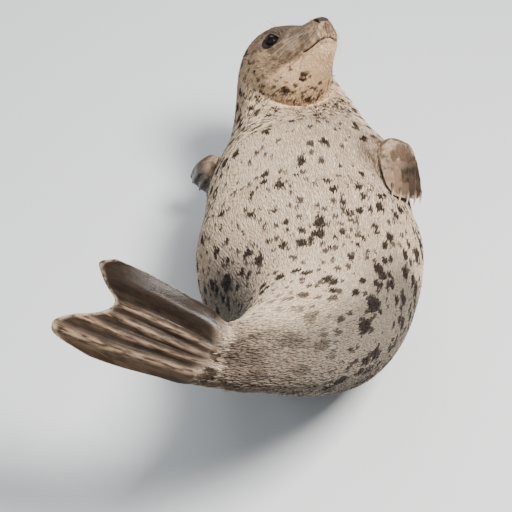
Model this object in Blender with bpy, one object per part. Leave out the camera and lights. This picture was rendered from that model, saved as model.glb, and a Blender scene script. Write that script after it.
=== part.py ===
"""Spotted seal lying on its back, head and hind flippers raised. Metres, +Z up, head towards +Y."""

import math

import bmesh
import bpy
import numpy as np

# ---- driving dimensions -------------------------------------------------------------------
LENGTH = 1.29  # nose tip to tail tip, along the spine
BELLY_AT = 0.42  # share of the length that lies over the origin
BELLY_CENTRE = (0.0, 0.055, 0.181)
CUT = 0.0003  # gap between neighbouring parts
AROUND = 36  # points round the body
RIM = 0.0012  # half the least thickness of a flipper
EYE_RADIUS = 0.0140
EYE_PLACE = (0.0980, 0.0465, 0.0205)  # behind the nose tip, to the side, above the nose
END = 0.955  # share of the length where the body ends and the tail goes on
EASE_STEPS = 80
THROAT = (0.135, 0.310, 0.90)  # the throat is filled between these shares of the length, by this much

HEAD_FORWARD = (0.43, -0.22, 0.875)
HEAD_CROWN = (-0.33, 0.86, 0.38)


def unit(v):
    v = np.asarray(v, float)
    return v / np.linalg.norm(v)


def frame_of(forward, belly):
    """Rows: towards the head, towards the animal's left, towards its belly."""
    t = unit(forward)
    b = np.asarray(belly, float)
    b = unit(b - t * (b @ t))
    return np.array((t, np.cross(t, b), b))


def hermite(keys, values, x):
    """A smooth curve through the values at the keys."""
    keys = np.asarray(keys, float)
    values = np.asarray(values, float)
    flat = values.reshape(len(keys), -1)
    x = np.clip(np.atleast_1d(np.asarray(x, float)), keys[0], keys[-1])
    step = np.diff(keys)[:, None]
    slope = np.diff(flat, axis=0) / step
    tangent = np.zeros_like(flat)
    tangent[1:-1] = (slope[:-1] * step[1:] + slope[1:] * step[:-1]) / (step[1:] + step[:-1])
    tangent[0] = slope[0]
    tangent[-1] = slope[-1]
    i = np.clip(np.searchsorted(keys, x, side="right") - 1, 0, len(keys) - 2)
    h = step[i]
    u = (x - keys[i])[:, None] / h
    out = (
        flat[i] * (2 * u**3 - 3 * u**2 + 1)
        + flat[i + 1] * (3 * u**2 - 2 * u**3)
        + tangent[i] * h * (u**3 - 2 * u**2 + u)
        + tangent[i + 1] * h * (u**3 - u**2)
    )
    return out.reshape((len(x),) + values.shape[1:])


def rear_axes(curl, swing):
    """Head and belly directions where the rear is curled up and swung to the animal's right."""
    c = math.radians(curl)
    s = math.radians(swing)
    tail = np.array((-math.sin(s), -math.cos(s) * math.cos(c), math.cos(s) * math.sin(c)))
    left = np.array((math.cos(s), -math.sin(s) * math.cos(c), math.sin(s) * math.sin(c)))
    return -tail, np.cross(left, -tail)


HEAD = (HEAD_FORWARD, tuple(-c for c in HEAD_CROWN))
# share of the length, direction towards the head, direction towards the belly
POSE = (
    (0.00, *HEAD),
    (0.105, *HEAD),
    (0.15, (0.09, 0.09, 1.0), (0.42, -0.90, 0.15)),
    (0.20, (-0.27, 0.47, 0.83), (0.30, -0.72, 0.60)),
    (0.27, (-0.28, 0.93, 0.21), (0.06, -0.26, 0.95)),
    (0.36, (-0.03, 1.0, -0.06), (0.0, 0.06, 1.0)),
    (0.44, (0.0, 1.0, 0.0), (0.0, 0.0, 1.0)),
    (0.54, *rear_axes(18, -1)),
    (0.64, *rear_axes(30, 2)),
    (0.75, *rear_axes(36, 14)),
    (0.86, *rear_axes(39, 34)),
    (0.93, *rear_axes(44, 58)),
    (1.00, *rear_axes(46, 70)),
)
# share of the length, half width, belly side, back side, squareness, shift to the animal's left
GIRTH = (
    (0.150, 0.092, 0.096, 0.075, 2.10, 0.017),
    (0.190, 0.105, 0.112, 0.088, 2.05, 0.021),
    (0.230, 0.126, 0.130, 0.118, 2.05, 0.009),
    (0.270, 0.142, 0.128, 0.140, 2.10, 0.0),
    (0.320, 0.166, 0.150, 0.160, 2.15, 0.0),
    (0.370, 0.181, 0.163, 0.175, 2.15, 0.0),
    (0.430, 0.189, 0.170, 0.183, 2.15, 0.0),
    (0.500, 0.199, 0.180, 0.192, 2.15, 0.0),
    (0.580, 0.178, 0.162, 0.170, 2.10, 0.0),
    (0.660, 0.147, 0.134, 0.138, 2.10, 0.0),
    (0.740, 0.114, 0.103, 0.104, 2.05, 0.0),
    (0.820, 0.086, 0.077, 0.078, 2.00, 0.0),
    (0.880, 0.068, 0.058, 0.058, 2.00, 0.0),
    (0.930, 0.052, 0.045, 0.045, 2.00, 0.0),
    (0.945, 0.043, 0.037, 0.037, 2.00, 0.0),
    (0.955, 0.024, 0.021, 0.021, 2.00, 0.0),
)
# metres behind the nose tip, half width, top above the nose, widest level and bottom below it,
# squareness, shift to the animal's left
FACE = (
    (0.000, 0.013, 0.006, 0.006, 0.017, 2.0, 0.0),
    (0.004, 0.0185, 0.009, 0.012, 0.033, 2.1, 0.0),
    (0.012, 0.024, 0.012, 0.018, 0.050, 2.2, 0.0),
    (0.026, 0.029, 0.016, 0.022, 0.062, 2.3, 0.0),
    (0.046, 0.037, 0.021, 0.024, 0.071, 2.3, 0.0),
    (0.067, 0.049, 0.030, 0.022, 0.080, 2.25, 0.0),
    (0.090, 0.065, 0.043, 0.018, 0.089, 2.2, 0.0),
    (0.118, 0.079, 0.057, 0.012, 0.096, 2.15, 0.003),
    (0.149, 0.086, 0.067, 0.006, 0.098, 2.15, 0.010),
)
# place (behind the nose tip, to the side, above the nose), reach, height; each on both sides
RELIEF = (
    ((0.024, 0.026, -0.022), (0.020, 0.014, 0.016), 0.0042),  # whisker pads
    ((0.002, 0.000, -0.003), (0.010, 0.014, 0.010), 0.0020),  # nose pad
    ((0.020, 0.000, -0.060), (0.014, 0.016, 0.010), 0.0030),  # chin
    ((0.096, 0.058, 0.020), (0.017, 0.014, 0.014), -0.0040),  # eye sockets
    ((0.094, 0.038, 0.044), (0.016, 0.014, 0.010), 0.0035),  # brows
    ((0.055, 0.026, 0.018), (0.014, 0.012, 0.010), -0.0025),  # beside the bridge
    ((0.125, 0.076, -0.020), (0.030, 0.020, 0.025), 0.0035),  # cheeks
)


def spine(shares, steps=400):
    """Ring centres and frames at these shares of the length."""
    shares = np.asarray(shares, float)
    keys = [row[0] for row in POSE]
    grid = np.linspace(0, 1, steps + 1)
    forward = hermite(keys, [row[1] for row in POSE], grid)
    forward /= np.linalg.norm(forward, axis=1)[:, None]
    along = np.zeros_like(forward)
    along[1:] = np.cumsum((forward[1:] + forward[:-1]) / 2, axis=0) * (-LENGTH / steps)
    at_belly = [np.interp(BELLY_AT, grid, along[:, k]) for k in range(3)]
    along += np.array(BELLY_CENTRE) - at_belly
    centre = np.stack([np.interp(shares, grid, along[:, k]) for k in range(3)], 1)
    f = hermite(keys, [row[1] for row in POSE], shares)
    b = hermite(keys, [row[2] for row in POSE], shares)
    return centre, np.array([frame_of(*pair) for pair in zip(f, b)])


def sections(shares):
    """Half width, belly side, back side, squareness, and the centre's drop and shift, at each share."""
    keys = []
    rows = []
    for back, wide, top, level, bottom, square, aside in FACE:
        keys.append(back / LENGTH)
        rows.append((wide, bottom - level, top + level, square, level, aside))
    for share, wide, belly, back, square, aside in GIRTH:
        keys.append(share)
        rows.append((wide, belly, back, square, 0.0, aside))
    return hermite(keys, rows, shares)


def head_place(point):
    """World position of a point given behind the nose tip, to the animal's left, above the nose."""
    nose = spine([0.0])[0][0]
    t, left, belly = frame_of(*HEAD)
    return nose - point[0] * t + point[1] * left - point[2] * belly


def relief(points, normals):
    """Points of the head moved out or in by the face's swellings and hollows."""
    nose = head_place((0, 0, 0))
    local = (points - nose) @ frame_of(*HEAD).T
    place = np.stack([-local[..., 0], np.abs(local[..., 1]), -local[..., 2]], -1)
    push = np.zeros(points.shape[:-1])
    for centre, reach, height in RELIEF:
        far = ((place - centre) / np.array(reach)) ** 2
        push += height * np.exp(-far.sum(-1))
    return points + normals * push[..., None]


def raw_rings(shares, around, grow):
    """Rings of points square to the spine."""
    centre, frames = spine(shares)
    angle = (np.arange(around) + 0.5) * 2 * math.pi / around
    c = np.cos(angle)
    s = np.sin(angle)
    out = np.zeros((len(shares), around, 3))
    for i, (wide, belly, back, square, level, aside) in enumerate(sections(shares)):
        x = np.sign(c) * np.abs(c) ** (2 / square) * (wide + grow)
        y = np.sign(s) * np.abs(s) ** (2 / square) * (np.where(s > 0, belly, back) + grow)
        mid = centre[i] + frames[i][2] * level + frames[i][1] * aside
        out[i] = mid + x[:, None] * frames[i][1] + y[:, None] * frames[i][2]
    return out


def outwards(points):
    """Normals of a grid of rings."""
    along = np.gradient(points, axis=0)
    across = np.roll(points, -1, axis=1) - np.roll(points, 1, axis=1)
    normal = np.cross(along, across)
    normal /= np.maximum(np.linalg.norm(normal, axis=2), 1e-12)[..., None]
    outward = points - points.mean(axis=1, keepdims=True)
    return normal * np.sign((normal * outward).sum(-1).mean())


def fill_throat(grid, points):
    """The hollow under the bent neck, filled towards a straight line on the belly side."""
    first, last, fill = THROAT
    inside = np.where((grid > first) & (grid < last))[0]
    a = inside[0] - 1
    b = inside[-1] + 1
    t = ((grid[inside] - grid[a]) / (grid[b] - grid[a]))[:, None, None]
    turn = (np.arange(points.shape[1]) + 0.5) * 2 * math.pi / points.shape[1]
    share = fill * np.sqrt(np.clip(np.sin(turn), 0, 1))[None, :, None]
    points[inside] += share * (points[a] * (1 - t) + points[b] * t - points[inside])
    return points


def rings(shares, around=AROUND, grow=0.0):
    """Rings of points round the body, eased where the throat folds and flattened by the floor."""
    shares = np.asarray(shares, float)
    grid = np.linspace(0, END, 241)
    points = fill_throat(grid, raw_rings(grid, around, grow))
    ease = np.exp(-(((grid - 0.225) / 0.060) ** 4))[1:-1, None, None] * 0.5
    for _ in range(EASE_STEPS):
        points[1:-1] += ease * ((points[2:] + points[:-2]) / 2 - points[1:-1])
    place = np.interp(shares, grid, np.arange(len(grid)))
    low = np.minimum(place.astype(int), len(grid) - 2)
    part = (place - low)[:, None, None]
    out = points[low] * (1 - part) + points[low + 1] * part
    normal = outwards(points)
    swell = np.zeros(out.shape[:2])
    for place in (FORE_LEFT, FORE_RIGHT):
        far = out - (fore_root(place)[0] + unit(place[3]) * 0.01)
        swell += SHOULDER[1] * np.exp(-(far**2).sum(-1) / SHOULDER[0] ** 2)
    out += normal[low] * swell[..., None]
    near_face = shares < 0.13
    if near_face.any():
        out[near_face] = relief(out[near_face], normal[low][near_face])
    out[..., 2] = np.maximum(out[..., 2], -grow)
    return out


# ---- flippers -----------------------------------------------------------------------------
# distance from the root, half width
HIND_WIDTH = ((0.0, 0.026), (0.026, 0.040), (0.050, 0.053), (0.10, 0.061), (0.15, 0.067), (0.26, 0.070))
# place across (-1 the fifth digit, 1 the first), reach
HIND_REACH = (
    (-1.0, 0.196),
    (-0.90, 0.236),
    (-0.66, 0.259),
    (-0.36, 0.240),
    (-0.12, 0.206),
    (0.10, 0.191),
    (0.26, 0.192),
    (0.42, 0.208),
    (0.60, 0.221),
    (0.88, 0.228),
    (1.0, 0.212),
)
HIND_DIGITS = ((-0.66, 0.20), (-0.32, 0.11), (-0.08, 0.11), (0.16, 0.12), (0.66, 0.30))
HIND_THICK = ((0.0, 0.021), (0.25, 0.0150), (0.55, 0.0100), (0.85, 0.0062), (1.0, 0.0010))
FORE_WIDTH = ((0.0, 0.014), (0.012, 0.029), (0.03, 0.039), (0.07, 0.046), (0.11, 0.045), (0.15, 0.041))
FORE_REACH = ((-1.0, 0.104), (-0.8, 0.122), (-0.4, 0.135), (0.0, 0.144), (0.4, 0.151), (0.8, 0.150), (1.0, 0.134))
FORE_DIGITS = ((-0.76, 0.17), (-0.38, 0.17), (0.0, 0.17), (0.38, 0.17), (0.76, 0.18))
FORE_THICK = ((0.0, 0.012), (0.10, 0.023), (0.3, 0.020), (0.6, 0.0145), (0.88, 0.0085), (1.0, 0.0012))


def paddle(spec, across, along):
    """Points of a flipper on a grid, in its own frame: along, across and out. Top first, then sole."""
    width, reach, digits, thick, cup = spec
    p = np.asarray(across, float)[None, :]
    t = np.asarray(along, float)[:, None]
    go = hermite(*zip(*reach), p[0])[None, :] * t
    side = p * hermite(*zip(*width), go.ravel()).reshape(go.shape)
    web = np.zeros_like(p)
    for place, wide in digits:
        web = np.maximum(web, np.exp(-(((p - place) / wide) ** 2)))
    lobes = 1 - (1 - web) * 0.72 * np.clip((t - 0.12) / 0.35, 0, 1)
    rim = np.clip(1 - np.abs(p) ** 3, 0, 1) ** 0.5
    half = hermite(*zip(*thick), t[:, 0])[:, None] * (0.10 + 0.90 * lobes * rim)
    half = np.maximum(half, RIM)
    bow = cup * (1 - p**2) * np.sin(np.clip(t, 0, 1) * math.pi)
    top = np.stack([go, side, bow + half], -1)
    sole = np.stack([go, side, bow - half], -1)
    return top, sole


HIND = (HIND_WIDTH, HIND_REACH, HIND_DIGITS, HIND_THICK, 0.003)
FORE = (FORE_WIDTH, FORE_REACH, FORE_DIGITS, FORE_THICK, 0.004)


def placed(points, root, axis, out):
    """Points given along, across and out, moved to the root. Across runs to the first digit."""
    a = unit(axis)
    n = np.asarray(out, float)
    n = unit(n - a * (n @ a))
    return np.asarray(root) + points @ np.array((a, np.cross(a, n), n))


HIND_AT = 0.930
HIND_SLIDE = -0.015
HIND_APART = 0.0235
HIND_CLOSE = 0.060
HIND_AXIS = (-0.90, 0.175, 0.360)
HIND_OUT = (0.10, -0.70, 0.69)
SHOULDER = (0.055, 0.012)  # reach and height of the swelling over each shoulder
# share of the length, turn from the left side towards the belly, depth, axis, outer side
FORE_LEFT = (0.360, 41.0, 1.13, (0.09, -0.96, 0.02), (0.60, -0.12, 0.79))
FORE_RIGHT = (0.262, 177.0, 1.05, (-0.20, 0.38, -0.90), (-0.34, -0.90, -0.20))


def hind_roots():
    """Root, axis and outer side of the left and the right hind flipper."""
    centre = spine([HIND_AT])[0][0]
    out = unit(HIND_OUT)
    found = []
    for side in (1, -1):
        root = centre + out * side * HIND_APART + unit(HIND_AXIS) * HIND_SLIDE
        axis = unit(np.array(HIND_AXIS) - out * side * HIND_CLOSE)
        found.append((root, axis, out * side))
    return found


def fore_root(place):
    share, turn, depth, axis, out = place
    centre, frames = spine([share])
    wide, belly = sections([share])[0][:2]
    a = math.radians(turn)
    at = centre[0] + depth * (math.cos(a) * wide * frames[0][1] + math.sin(a) * belly * frames[0][2])
    return at, axis, out


# ---- blender ------------------------------------------------------------------------------
# name, first and last share of the length, rings, gap to the next part
SEGMENTS = (
    ("head", 0.0, 0.125, 16, 0.0007),
    ("neck", 0.125, 0.265, 9, 0.0006),
    ("chest", 0.265, 0.375, 6, 0.0003),
    ("belly", 0.375, 0.560, 8, 0.0003),
    ("hips", 0.560, 0.760, 8, 0.0003),
    ("rump", 0.760, END, 10, 0.0),
)
# distance along the tail, half width, half thickness
TAIL = ((0.0, 0.022, 0.013), (0.040, 0.021, 0.012), (0.080, 0.018, 0.0095), (0.110, 0.013, 0.007), (0.122, 0.006, 0.004))
TAIL_AT = 0.930
TAIL_BACK = 0.024
TAIL_AXIS = (-0.92, -0.10, 0.30)
# place across, share of the reach, length, base radius, droop
FORE_CLAWS = (
    (-0.80, 0.86, 0.028, 0.0036, 0.006),
    (-0.42, 0.86, 0.033, 0.0040, 0.007),
    (0.00, 0.86, 0.035, 0.0042, 0.008),
    (0.42, 0.86, 0.034, 0.0042, 0.008),
    (0.78, 0.86, 0.031, 0.0040, 0.007),
)
HIND_CLAWS = (
    (-0.66, 0.84, 0.019, 0.0026, 0.003),
    (-0.32, 0.84, 0.018, 0.0026, 0.003),
    (-0.08, 0.84, 0.018, 0.0026, 0.003),
    (0.16, 0.84, 0.018, 0.0026, 0.003),
    (0.62, 0.82, 0.020, 0.0028, 0.003),
)
FUR = (0.62, 0.58, 0.50)
WEB = (0.16, 0.12, 0.10)


def clear_scene():
    for obj in list(bpy.data.objects):
        bpy.data.objects.remove(obj, do_unlink=True)


def volume_of(points, faces):
    total = 0.0
    for face in faces:
        a = points[face[0]]
        for j in range(1, len(face) - 1):
            total += np.dot(a, np.cross(points[face[j]], points[face[j + 1]]))
    return total


def make(name, points, faces, colour, rough=0.5, helper=False):
    """One closed object with its own material; a helper only cuts."""
    points = np.asarray(points, float)
    if volume_of(points, faces) < 0:
        faces = [tuple(reversed(face)) for face in faces]
    mesh = bpy.data.meshes.new(name)
    mesh.from_pydata(points.tolist(), [], faces)
    mesh.update()
    obj = bpy.data.objects.new(name, mesh)
    bpy.context.scene.collection.objects.link(obj)
    if helper:
        obj.hide_render = True
        obj.display_type = "WIRE"
        return obj
    material = bpy.data.materials.new(name)
    material.use_nodes = True
    shader = material.node_tree.nodes["Principled BSDF"]
    shader.inputs["Base Color"].default_value = (*colour, 1.0)
    shader.inputs["Roughness"].default_value = rough
    mesh.materials.append(material)
    return obj


def loft(ring_grid):
    """Points and faces of a closed loft, each end closed round its middle."""
    n, m = ring_grid.shape[:2]
    points = list(ring_grid.reshape(-1, 3))
    faces = []
    for i in range(n - 1):
        for j in range(m):
            k = (j + 1) % m
            a = i * m + j
            b = i * m + k
            faces.append((a, b, b + m))
            faces.append((a, b + m, a + m))
    for i in (0, n - 1):
        points.append(ring_grid[i].mean(axis=0))
        middle = len(points) - 1
        for j in range(m):
            k = (j + 1) % m
            pair = (i * m + j, i * m + k)
            faces.append((middle, pair[1], pair[0]) if i == 0 else (middle, *pair))
    return points, faces


def slab(top, sole):
    """Points and faces of a flipper closed between its two sides."""
    n, m = top.shape[:2]
    ring = np.concatenate([top, sole[:, ::-1]], axis=1)
    points = list(ring.reshape(-1, 3))
    w = 2 * m
    faces = []
    for i in range(n - 1):
        for j in range(w):
            k = (j + 1) % w
            a = i * w + j
            b = i * w + k
            faces.append((a, b, b + w))
            faces.append((a, b + w, a + w))
    for i in (0, n - 1):
        for j in range(m - 1):
            a = i * w + j
            b = i * w + w - 1 - j
            quad = (a, b, b - 1, a + 1) if i == 0 else (a, a + 1, b - 1, b)
            faces.append((quad[0], quad[1], quad[2]))
            faces.append((quad[0], quad[2], quad[3]))
    return points, faces


def ball(centre, radius, rows=9, around=14):
    grid = []
    for i in range(rows):
        a = math.pi * (i + 0.5) / rows
        grid.append([
            (
                math.sin(a) * math.cos(2 * math.pi * j / around),
                math.sin(a) * math.sin(2 * math.pi * j / around),
                math.cos(a),
            )
            for j in range(around)
        ])
    return loft(np.asarray(centre) + radius * np.array(grid))


def claw(spec, side, paddle_spec, grow=0.0):
    """Rings of a curved claw in its flipper's own frame."""
    place, share, length, radius, droop = spec
    top, sole = paddle(paddle_spec, [place], [share])
    start = top[0, 0] * 0.62 + sole[0, 0] * 0.38
    grid = []
    for u in (0.0, 0.4, 0.75, 1.0):
        thin = (1 - u) ** 0.7 * (radius - 0.0005) + 0.0005 + grow
        lift = 0.25 * length * u - droop * 2.2 * u * u
        mid = start + np.array((length * u + (grow if u == 1.0 else 0.0) - (grow if u == 0.0 else 0.0), 0.0, lift))
        ring = []
        for j in range(6):
            a = 2 * math.pi * j / 6
            ring.append(mid + np.array((0.0, 0.8 * thin * math.cos(a), 1.15 * thin * math.sin(a))))
        grid.append(ring)
    grid = np.array(grid)
    grid[..., 1] *= side
    return grid


def cut(obj, cutter):
    modifier = obj.modifiers.new("cut", "BOOLEAN")
    modifier.operation = "DIFFERENCE"
    modifier.solver = "EXACT"
    modifier.object = cutter


def segment_shares(number):
    name, first, last, rows, gap = SEGMENTS[number]
    start = first + (SEGMENTS[number - 1][4] / LENGTH if number else 0.0)
    even = np.linspace(0, 1, rows)
    if name == "head":
        even = even**1.35
    if name == "rump":
        even = even**0.8
    return start + (last - gap / LENGTH - start) * even


def make_body():
    for number, segment in enumerate(SEGMENTS):
        make(segment[0], *loft(rings(segment_shares(number))), FUR)


def body_cutter(name, numbers):
    """The same rings as those parts, a little larger."""
    shares = np.concatenate([segment_shares(number) for number in numbers])
    return make(name, *loft(rings(shares, grow=CUT)), FUR, helper=True)


def make_eyes():
    for side, name in ((1, "eye_left"), (-1, "eye_right")):
        place = head_place((EYE_PLACE[0], side * EYE_PLACE[1], EYE_PLACE[2]))
        make(name, *ball(place, EYE_RADIUS), (0.02, 0.015, 0.012), 0.05)
        socket = make(name + "_socket", *ball(place, EYE_RADIUS + CUT), FUR, helper=True)
        cut(bpy.data.objects["head"], socket)


def tail_rings(grow=0.0):
    centre, frames = spine([TAIL_AT])
    axis = unit(TAIL_AXIS)
    wide = unit(np.cross(axis, HIND_OUT))
    thin = unit(np.cross(wide, axis))
    root = centre[0] - frames[0][2] * TAIL_BACK - axis * 0.012
    grid = []
    for along, half, thick in TAIL:
        go = along + (grow if along == TAIL[-1][0] else 0.0)
        ring = []
        for j in range(14):
            a = 2 * math.pi * j / 14
            spot = wide * math.cos(a) * (half + grow) + thin * math.sin(a) * (thick + grow)
            ring.append(root + axis * go + spot)
        grid.append(ring)
    return np.array(grid)


def make_tail(rump_cutter):
    tail = make("tail", *loft(tail_rings()), FUR)
    cut(tail, rump_cutter)
    return make("tail_cutter", *loft(tail_rings(CUT)), FUR, helper=True)


def make_flipper(name, spec, claws, root, axis, out, side, cutters):
    across = np.sin(np.linspace(-1, 1, 13) * math.pi / 2)
    along = np.linspace(0, 1, 9) ** 1.15 if spec is FORE else np.linspace(0, 1, 8) ** 0.9
    top, sole = paddle(spec, across, along)
    top[..., 1] *= side
    sole[..., 1] *= side
    obj = make(name, *slab(placed(top, root, axis, out), placed(sole, root, axis, out)), WEB)
    for cutter in cutters:
        cut(obj, cutter)
    hole_points = []
    hole_faces = []
    for number, claw_spec in enumerate(claws):
        grid = placed(claw(claw_spec, side, spec), root, axis, out)
        claw_obj = make(f"{name}_claw_{number + 1}", *loft(grid), (0.35, 0.29, 0.22), 0.35)
        if spec is FORE:
            cut(claw_obj, cutters[0])
        points, faces = loft(placed(claw(claw_spec, side, spec, CUT), root, axis, out))
        if volume_of(np.array(points), faces) < 0:
            faces = [tuple(reversed(face)) for face in faces]
        shift = len(hole_points)
        hole_points += list(points)
        hole_faces += [tuple(v + shift for v in face) for face in faces]
    cut(obj, make(name + "_claw_holes", hole_points, hole_faces, WEB, helper=True))


def main():
    clear_scene()
    make_body()
    make_eyes()
    trunk = body_cutter("trunk_cutter", (1, 2, 3))
    rear = body_cutter("rear_cutter", (5,))
    tail = make_tail(rear)
    for side, name, place in ((1, "left", FORE_LEFT), (-1, "right", FORE_RIGHT)):
        make_flipper("fore_flipper_" + name, FORE, FORE_CLAWS, *fore_root(place), side, [trunk])
    for (root, axis, out), side, name in zip(hind_roots(), (1, -1), ("left", "right")):
        make_flipper("hind_flipper_" + name, HIND, HIND_CLAWS, root, axis, out, side, [rear, tail])


main()
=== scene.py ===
"""Looks of the spotted seal: skin, coat, eyes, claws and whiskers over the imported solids. Metres, +Z up."""

import math

import bmesh
import bpy
import numpy as np
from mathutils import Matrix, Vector
from mathutils.kdtree import KDTree


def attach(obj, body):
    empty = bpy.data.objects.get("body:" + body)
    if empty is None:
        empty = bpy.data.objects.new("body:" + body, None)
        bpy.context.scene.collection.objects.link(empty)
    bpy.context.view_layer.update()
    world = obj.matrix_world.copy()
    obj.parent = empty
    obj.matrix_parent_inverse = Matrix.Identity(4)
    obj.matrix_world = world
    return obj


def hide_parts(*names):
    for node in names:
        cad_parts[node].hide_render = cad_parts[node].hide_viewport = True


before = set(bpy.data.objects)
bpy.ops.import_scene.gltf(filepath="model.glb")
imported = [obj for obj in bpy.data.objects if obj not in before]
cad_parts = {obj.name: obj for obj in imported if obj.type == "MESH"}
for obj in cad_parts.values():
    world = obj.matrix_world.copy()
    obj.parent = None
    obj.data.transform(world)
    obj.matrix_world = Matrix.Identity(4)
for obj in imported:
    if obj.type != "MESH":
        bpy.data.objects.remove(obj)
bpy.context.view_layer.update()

# ---- driving dimensions -------------------------------------------------------------------
LENGTH = 1.29  # nose tip to tail tip, along the spine
BELLY_AT = 0.42  # share of the length that lies over the origin
BELLY_CENTRE = (0.0, 0.055, 0.181)
AROUND = 36  # points round the body
RIM = 0.0012  # half the least thickness of a flipper
EYE_RADIUS = 0.0140
EYE_PLACE = (0.0980, 0.0465, 0.0205)  # behind the nose tip, to the side, above the nose
END = 0.955  # share of the length where the body ends and the tail goes on
RING_COUNT = 241  # rings from the nose to the end of the body, before any are picked out
EASE_STEPS = 80
EASE = (0.225, 0.060, 0.5)  # the throat is eased at this share of the length: reach, strength
THROAT = (0.135, 0.310, 0.90)  # the throat is filled between these shares of the length, by this much
FACE_END = 0.13  # share of the length where the swellings of the face end

HEAD_FORWARD = (0.43, -0.22, 0.875)
HEAD_CROWN = (-0.33, 0.86, 0.38)


def unit(v):
    v = np.asarray(v, float)
    return v / np.linalg.norm(v)


def hump(far, reach, power=2):
    """1 at no distance, falling to nothing past the reach."""
    return np.exp(-((far / reach) ** power))


def turns(count, start=0.0):
    """Angles of evenly spaced points round a circle."""
    return (np.arange(count) + start) * 2 * math.pi / count


def frame_of(forward, belly):
    """Rows: towards the head, towards the animal's left, towards its belly."""
    t = unit(forward)
    b = np.asarray(belly, float)
    b = unit(b - t * (b @ t))
    return np.array((t, np.cross(t, b), b))


def hermite(keys, values, x):
    """A smooth curve through the values at the keys."""
    keys = np.asarray(keys, float)
    values = np.asarray(values, float)
    flat = values.reshape(len(keys), -1)
    x = np.clip(np.atleast_1d(np.asarray(x, float)), keys[0], keys[-1])
    step = np.diff(keys)[:, None]
    slope = np.diff(flat, axis=0) / step
    tangent = np.zeros_like(flat)
    tangent[1:-1] = (slope[:-1] * step[1:] + slope[1:] * step[:-1]) / (step[1:] + step[:-1])
    tangent[0] = slope[0]
    tangent[-1] = slope[-1]
    i = np.clip(np.searchsorted(keys, x, side="right") - 1, 0, len(keys) - 2)
    h = step[i]
    u = (x - keys[i])[:, None] / h
    out = (
        flat[i] * (2 * u**3 - 3 * u**2 + 1)
        + flat[i + 1] * (3 * u**2 - 2 * u**3)
        + tangent[i] * h * (u**3 - 2 * u**2 + u)
        + tangent[i + 1] * h * (u**3 - u**2)
    )
    return out.reshape((len(x),) + values.shape[1:])


def rear_axes(curl, swing):
    """Head and belly directions where the rear is curled up and swung to the animal's right."""
    c = math.radians(curl)
    s = math.radians(swing)
    tail = np.array((-math.sin(s), -math.cos(s) * math.cos(c), math.cos(s) * math.sin(c)))
    left = np.array((math.cos(s), -math.sin(s) * math.cos(c), math.sin(s) * math.sin(c)))
    return -tail, np.cross(left, -tail)


HEAD = (HEAD_FORWARD, tuple(-c for c in HEAD_CROWN))
# share of the length, direction towards the head, direction towards the belly
POSE = (
    (0.00, *HEAD),
    (0.105, *HEAD),
    (0.15, (0.09, 0.09, 1.0), (0.42, -0.90, 0.15)),
    (0.20, (-0.27, 0.47, 0.83), (0.30, -0.72, 0.60)),
    (0.27, (-0.28, 0.93, 0.21), (0.06, -0.26, 0.95)),
    (0.36, (-0.03, 1.0, -0.06), (0.0, 0.06, 1.0)),
    (0.44, (0.0, 1.0, 0.0), (0.0, 0.0, 1.0)),
    (0.54, *rear_axes(18, -1)),
    (0.64, *rear_axes(30, 2)),
    (0.75, *rear_axes(36, 14)),
    (0.86, *rear_axes(39, 34)),
    (0.93, *rear_axes(44, 58)),
    (1.00, *rear_axes(46, 70)),
)
# share of the length, half width, belly side, back side, squareness, shift to the animal's left
GIRTH = (
    (0.150, 0.092, 0.096, 0.075, 2.10, 0.017),
    (0.190, 0.105, 0.112, 0.088, 2.05, 0.021),
    (0.230, 0.126, 0.130, 0.118, 2.05, 0.009),
    (0.270, 0.142, 0.128, 0.140, 2.10, 0.0),
    (0.320, 0.166, 0.150, 0.160, 2.15, 0.0),
    (0.370, 0.181, 0.163, 0.175, 2.15, 0.0),
    (0.430, 0.189, 0.170, 0.183, 2.15, 0.0),
    (0.500, 0.199, 0.180, 0.192, 2.15, 0.0),
    (0.580, 0.178, 0.162, 0.170, 2.10, 0.0),
    (0.660, 0.147, 0.134, 0.138, 2.10, 0.0),
    (0.740, 0.114, 0.103, 0.104, 2.05, 0.0),
    (0.820, 0.086, 0.077, 0.078, 2.00, 0.0),
    (0.880, 0.068, 0.058, 0.058, 2.00, 0.0),
    (0.930, 0.052, 0.045, 0.045, 2.00, 0.0),
    (0.945, 0.043, 0.037, 0.037, 2.00, 0.0),
    (0.955, 0.024, 0.021, 0.021, 2.00, 0.0),
)
# metres behind the nose tip, half width, top above the nose, widest level and bottom below it,
# squareness, shift to the animal's left
FACE = (
    (0.000, 0.013, 0.006, 0.006, 0.017, 2.0, 0.0),
    (0.004, 0.0185, 0.009, 0.012, 0.033, 2.1, 0.0),
    (0.012, 0.024, 0.012, 0.018, 0.050, 2.2, 0.0),
    (0.026, 0.029, 0.016, 0.022, 0.062, 2.3, 0.0),
    (0.046, 0.037, 0.021, 0.024, 0.071, 2.3, 0.0),
    (0.067, 0.049, 0.030, 0.022, 0.080, 2.25, 0.0),
    (0.090, 0.065, 0.043, 0.018, 0.089, 2.2, 0.0),
    (0.118, 0.079, 0.057, 0.012, 0.096, 2.15, 0.003),
    (0.149, 0.086, 0.067, 0.006, 0.098, 2.15, 0.010),
)
# place (behind the nose tip, to the side, above the nose), reach, height; each on both sides
RELIEF = (
    ((0.024, 0.026, -0.022), (0.020, 0.014, 0.016), 0.0042),  # whisker pads
    ((0.002, 0.000, -0.003), (0.010, 0.014, 0.010), 0.0020),  # nose pad
    ((0.020, 0.000, -0.060), (0.014, 0.016, 0.010), 0.0030),  # chin
    ((0.096, 0.058, 0.020), (0.017, 0.014, 0.014), -0.0040),  # eye sockets
    ((0.094, 0.038, 0.044), (0.016, 0.014, 0.010), 0.0035),  # brows
    ((0.055, 0.026, 0.018), (0.014, 0.012, 0.010), -0.0025),  # beside the bridge
    ((0.125, 0.076, -0.020), (0.030, 0.020, 0.025), 0.0035),  # cheeks
)


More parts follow.
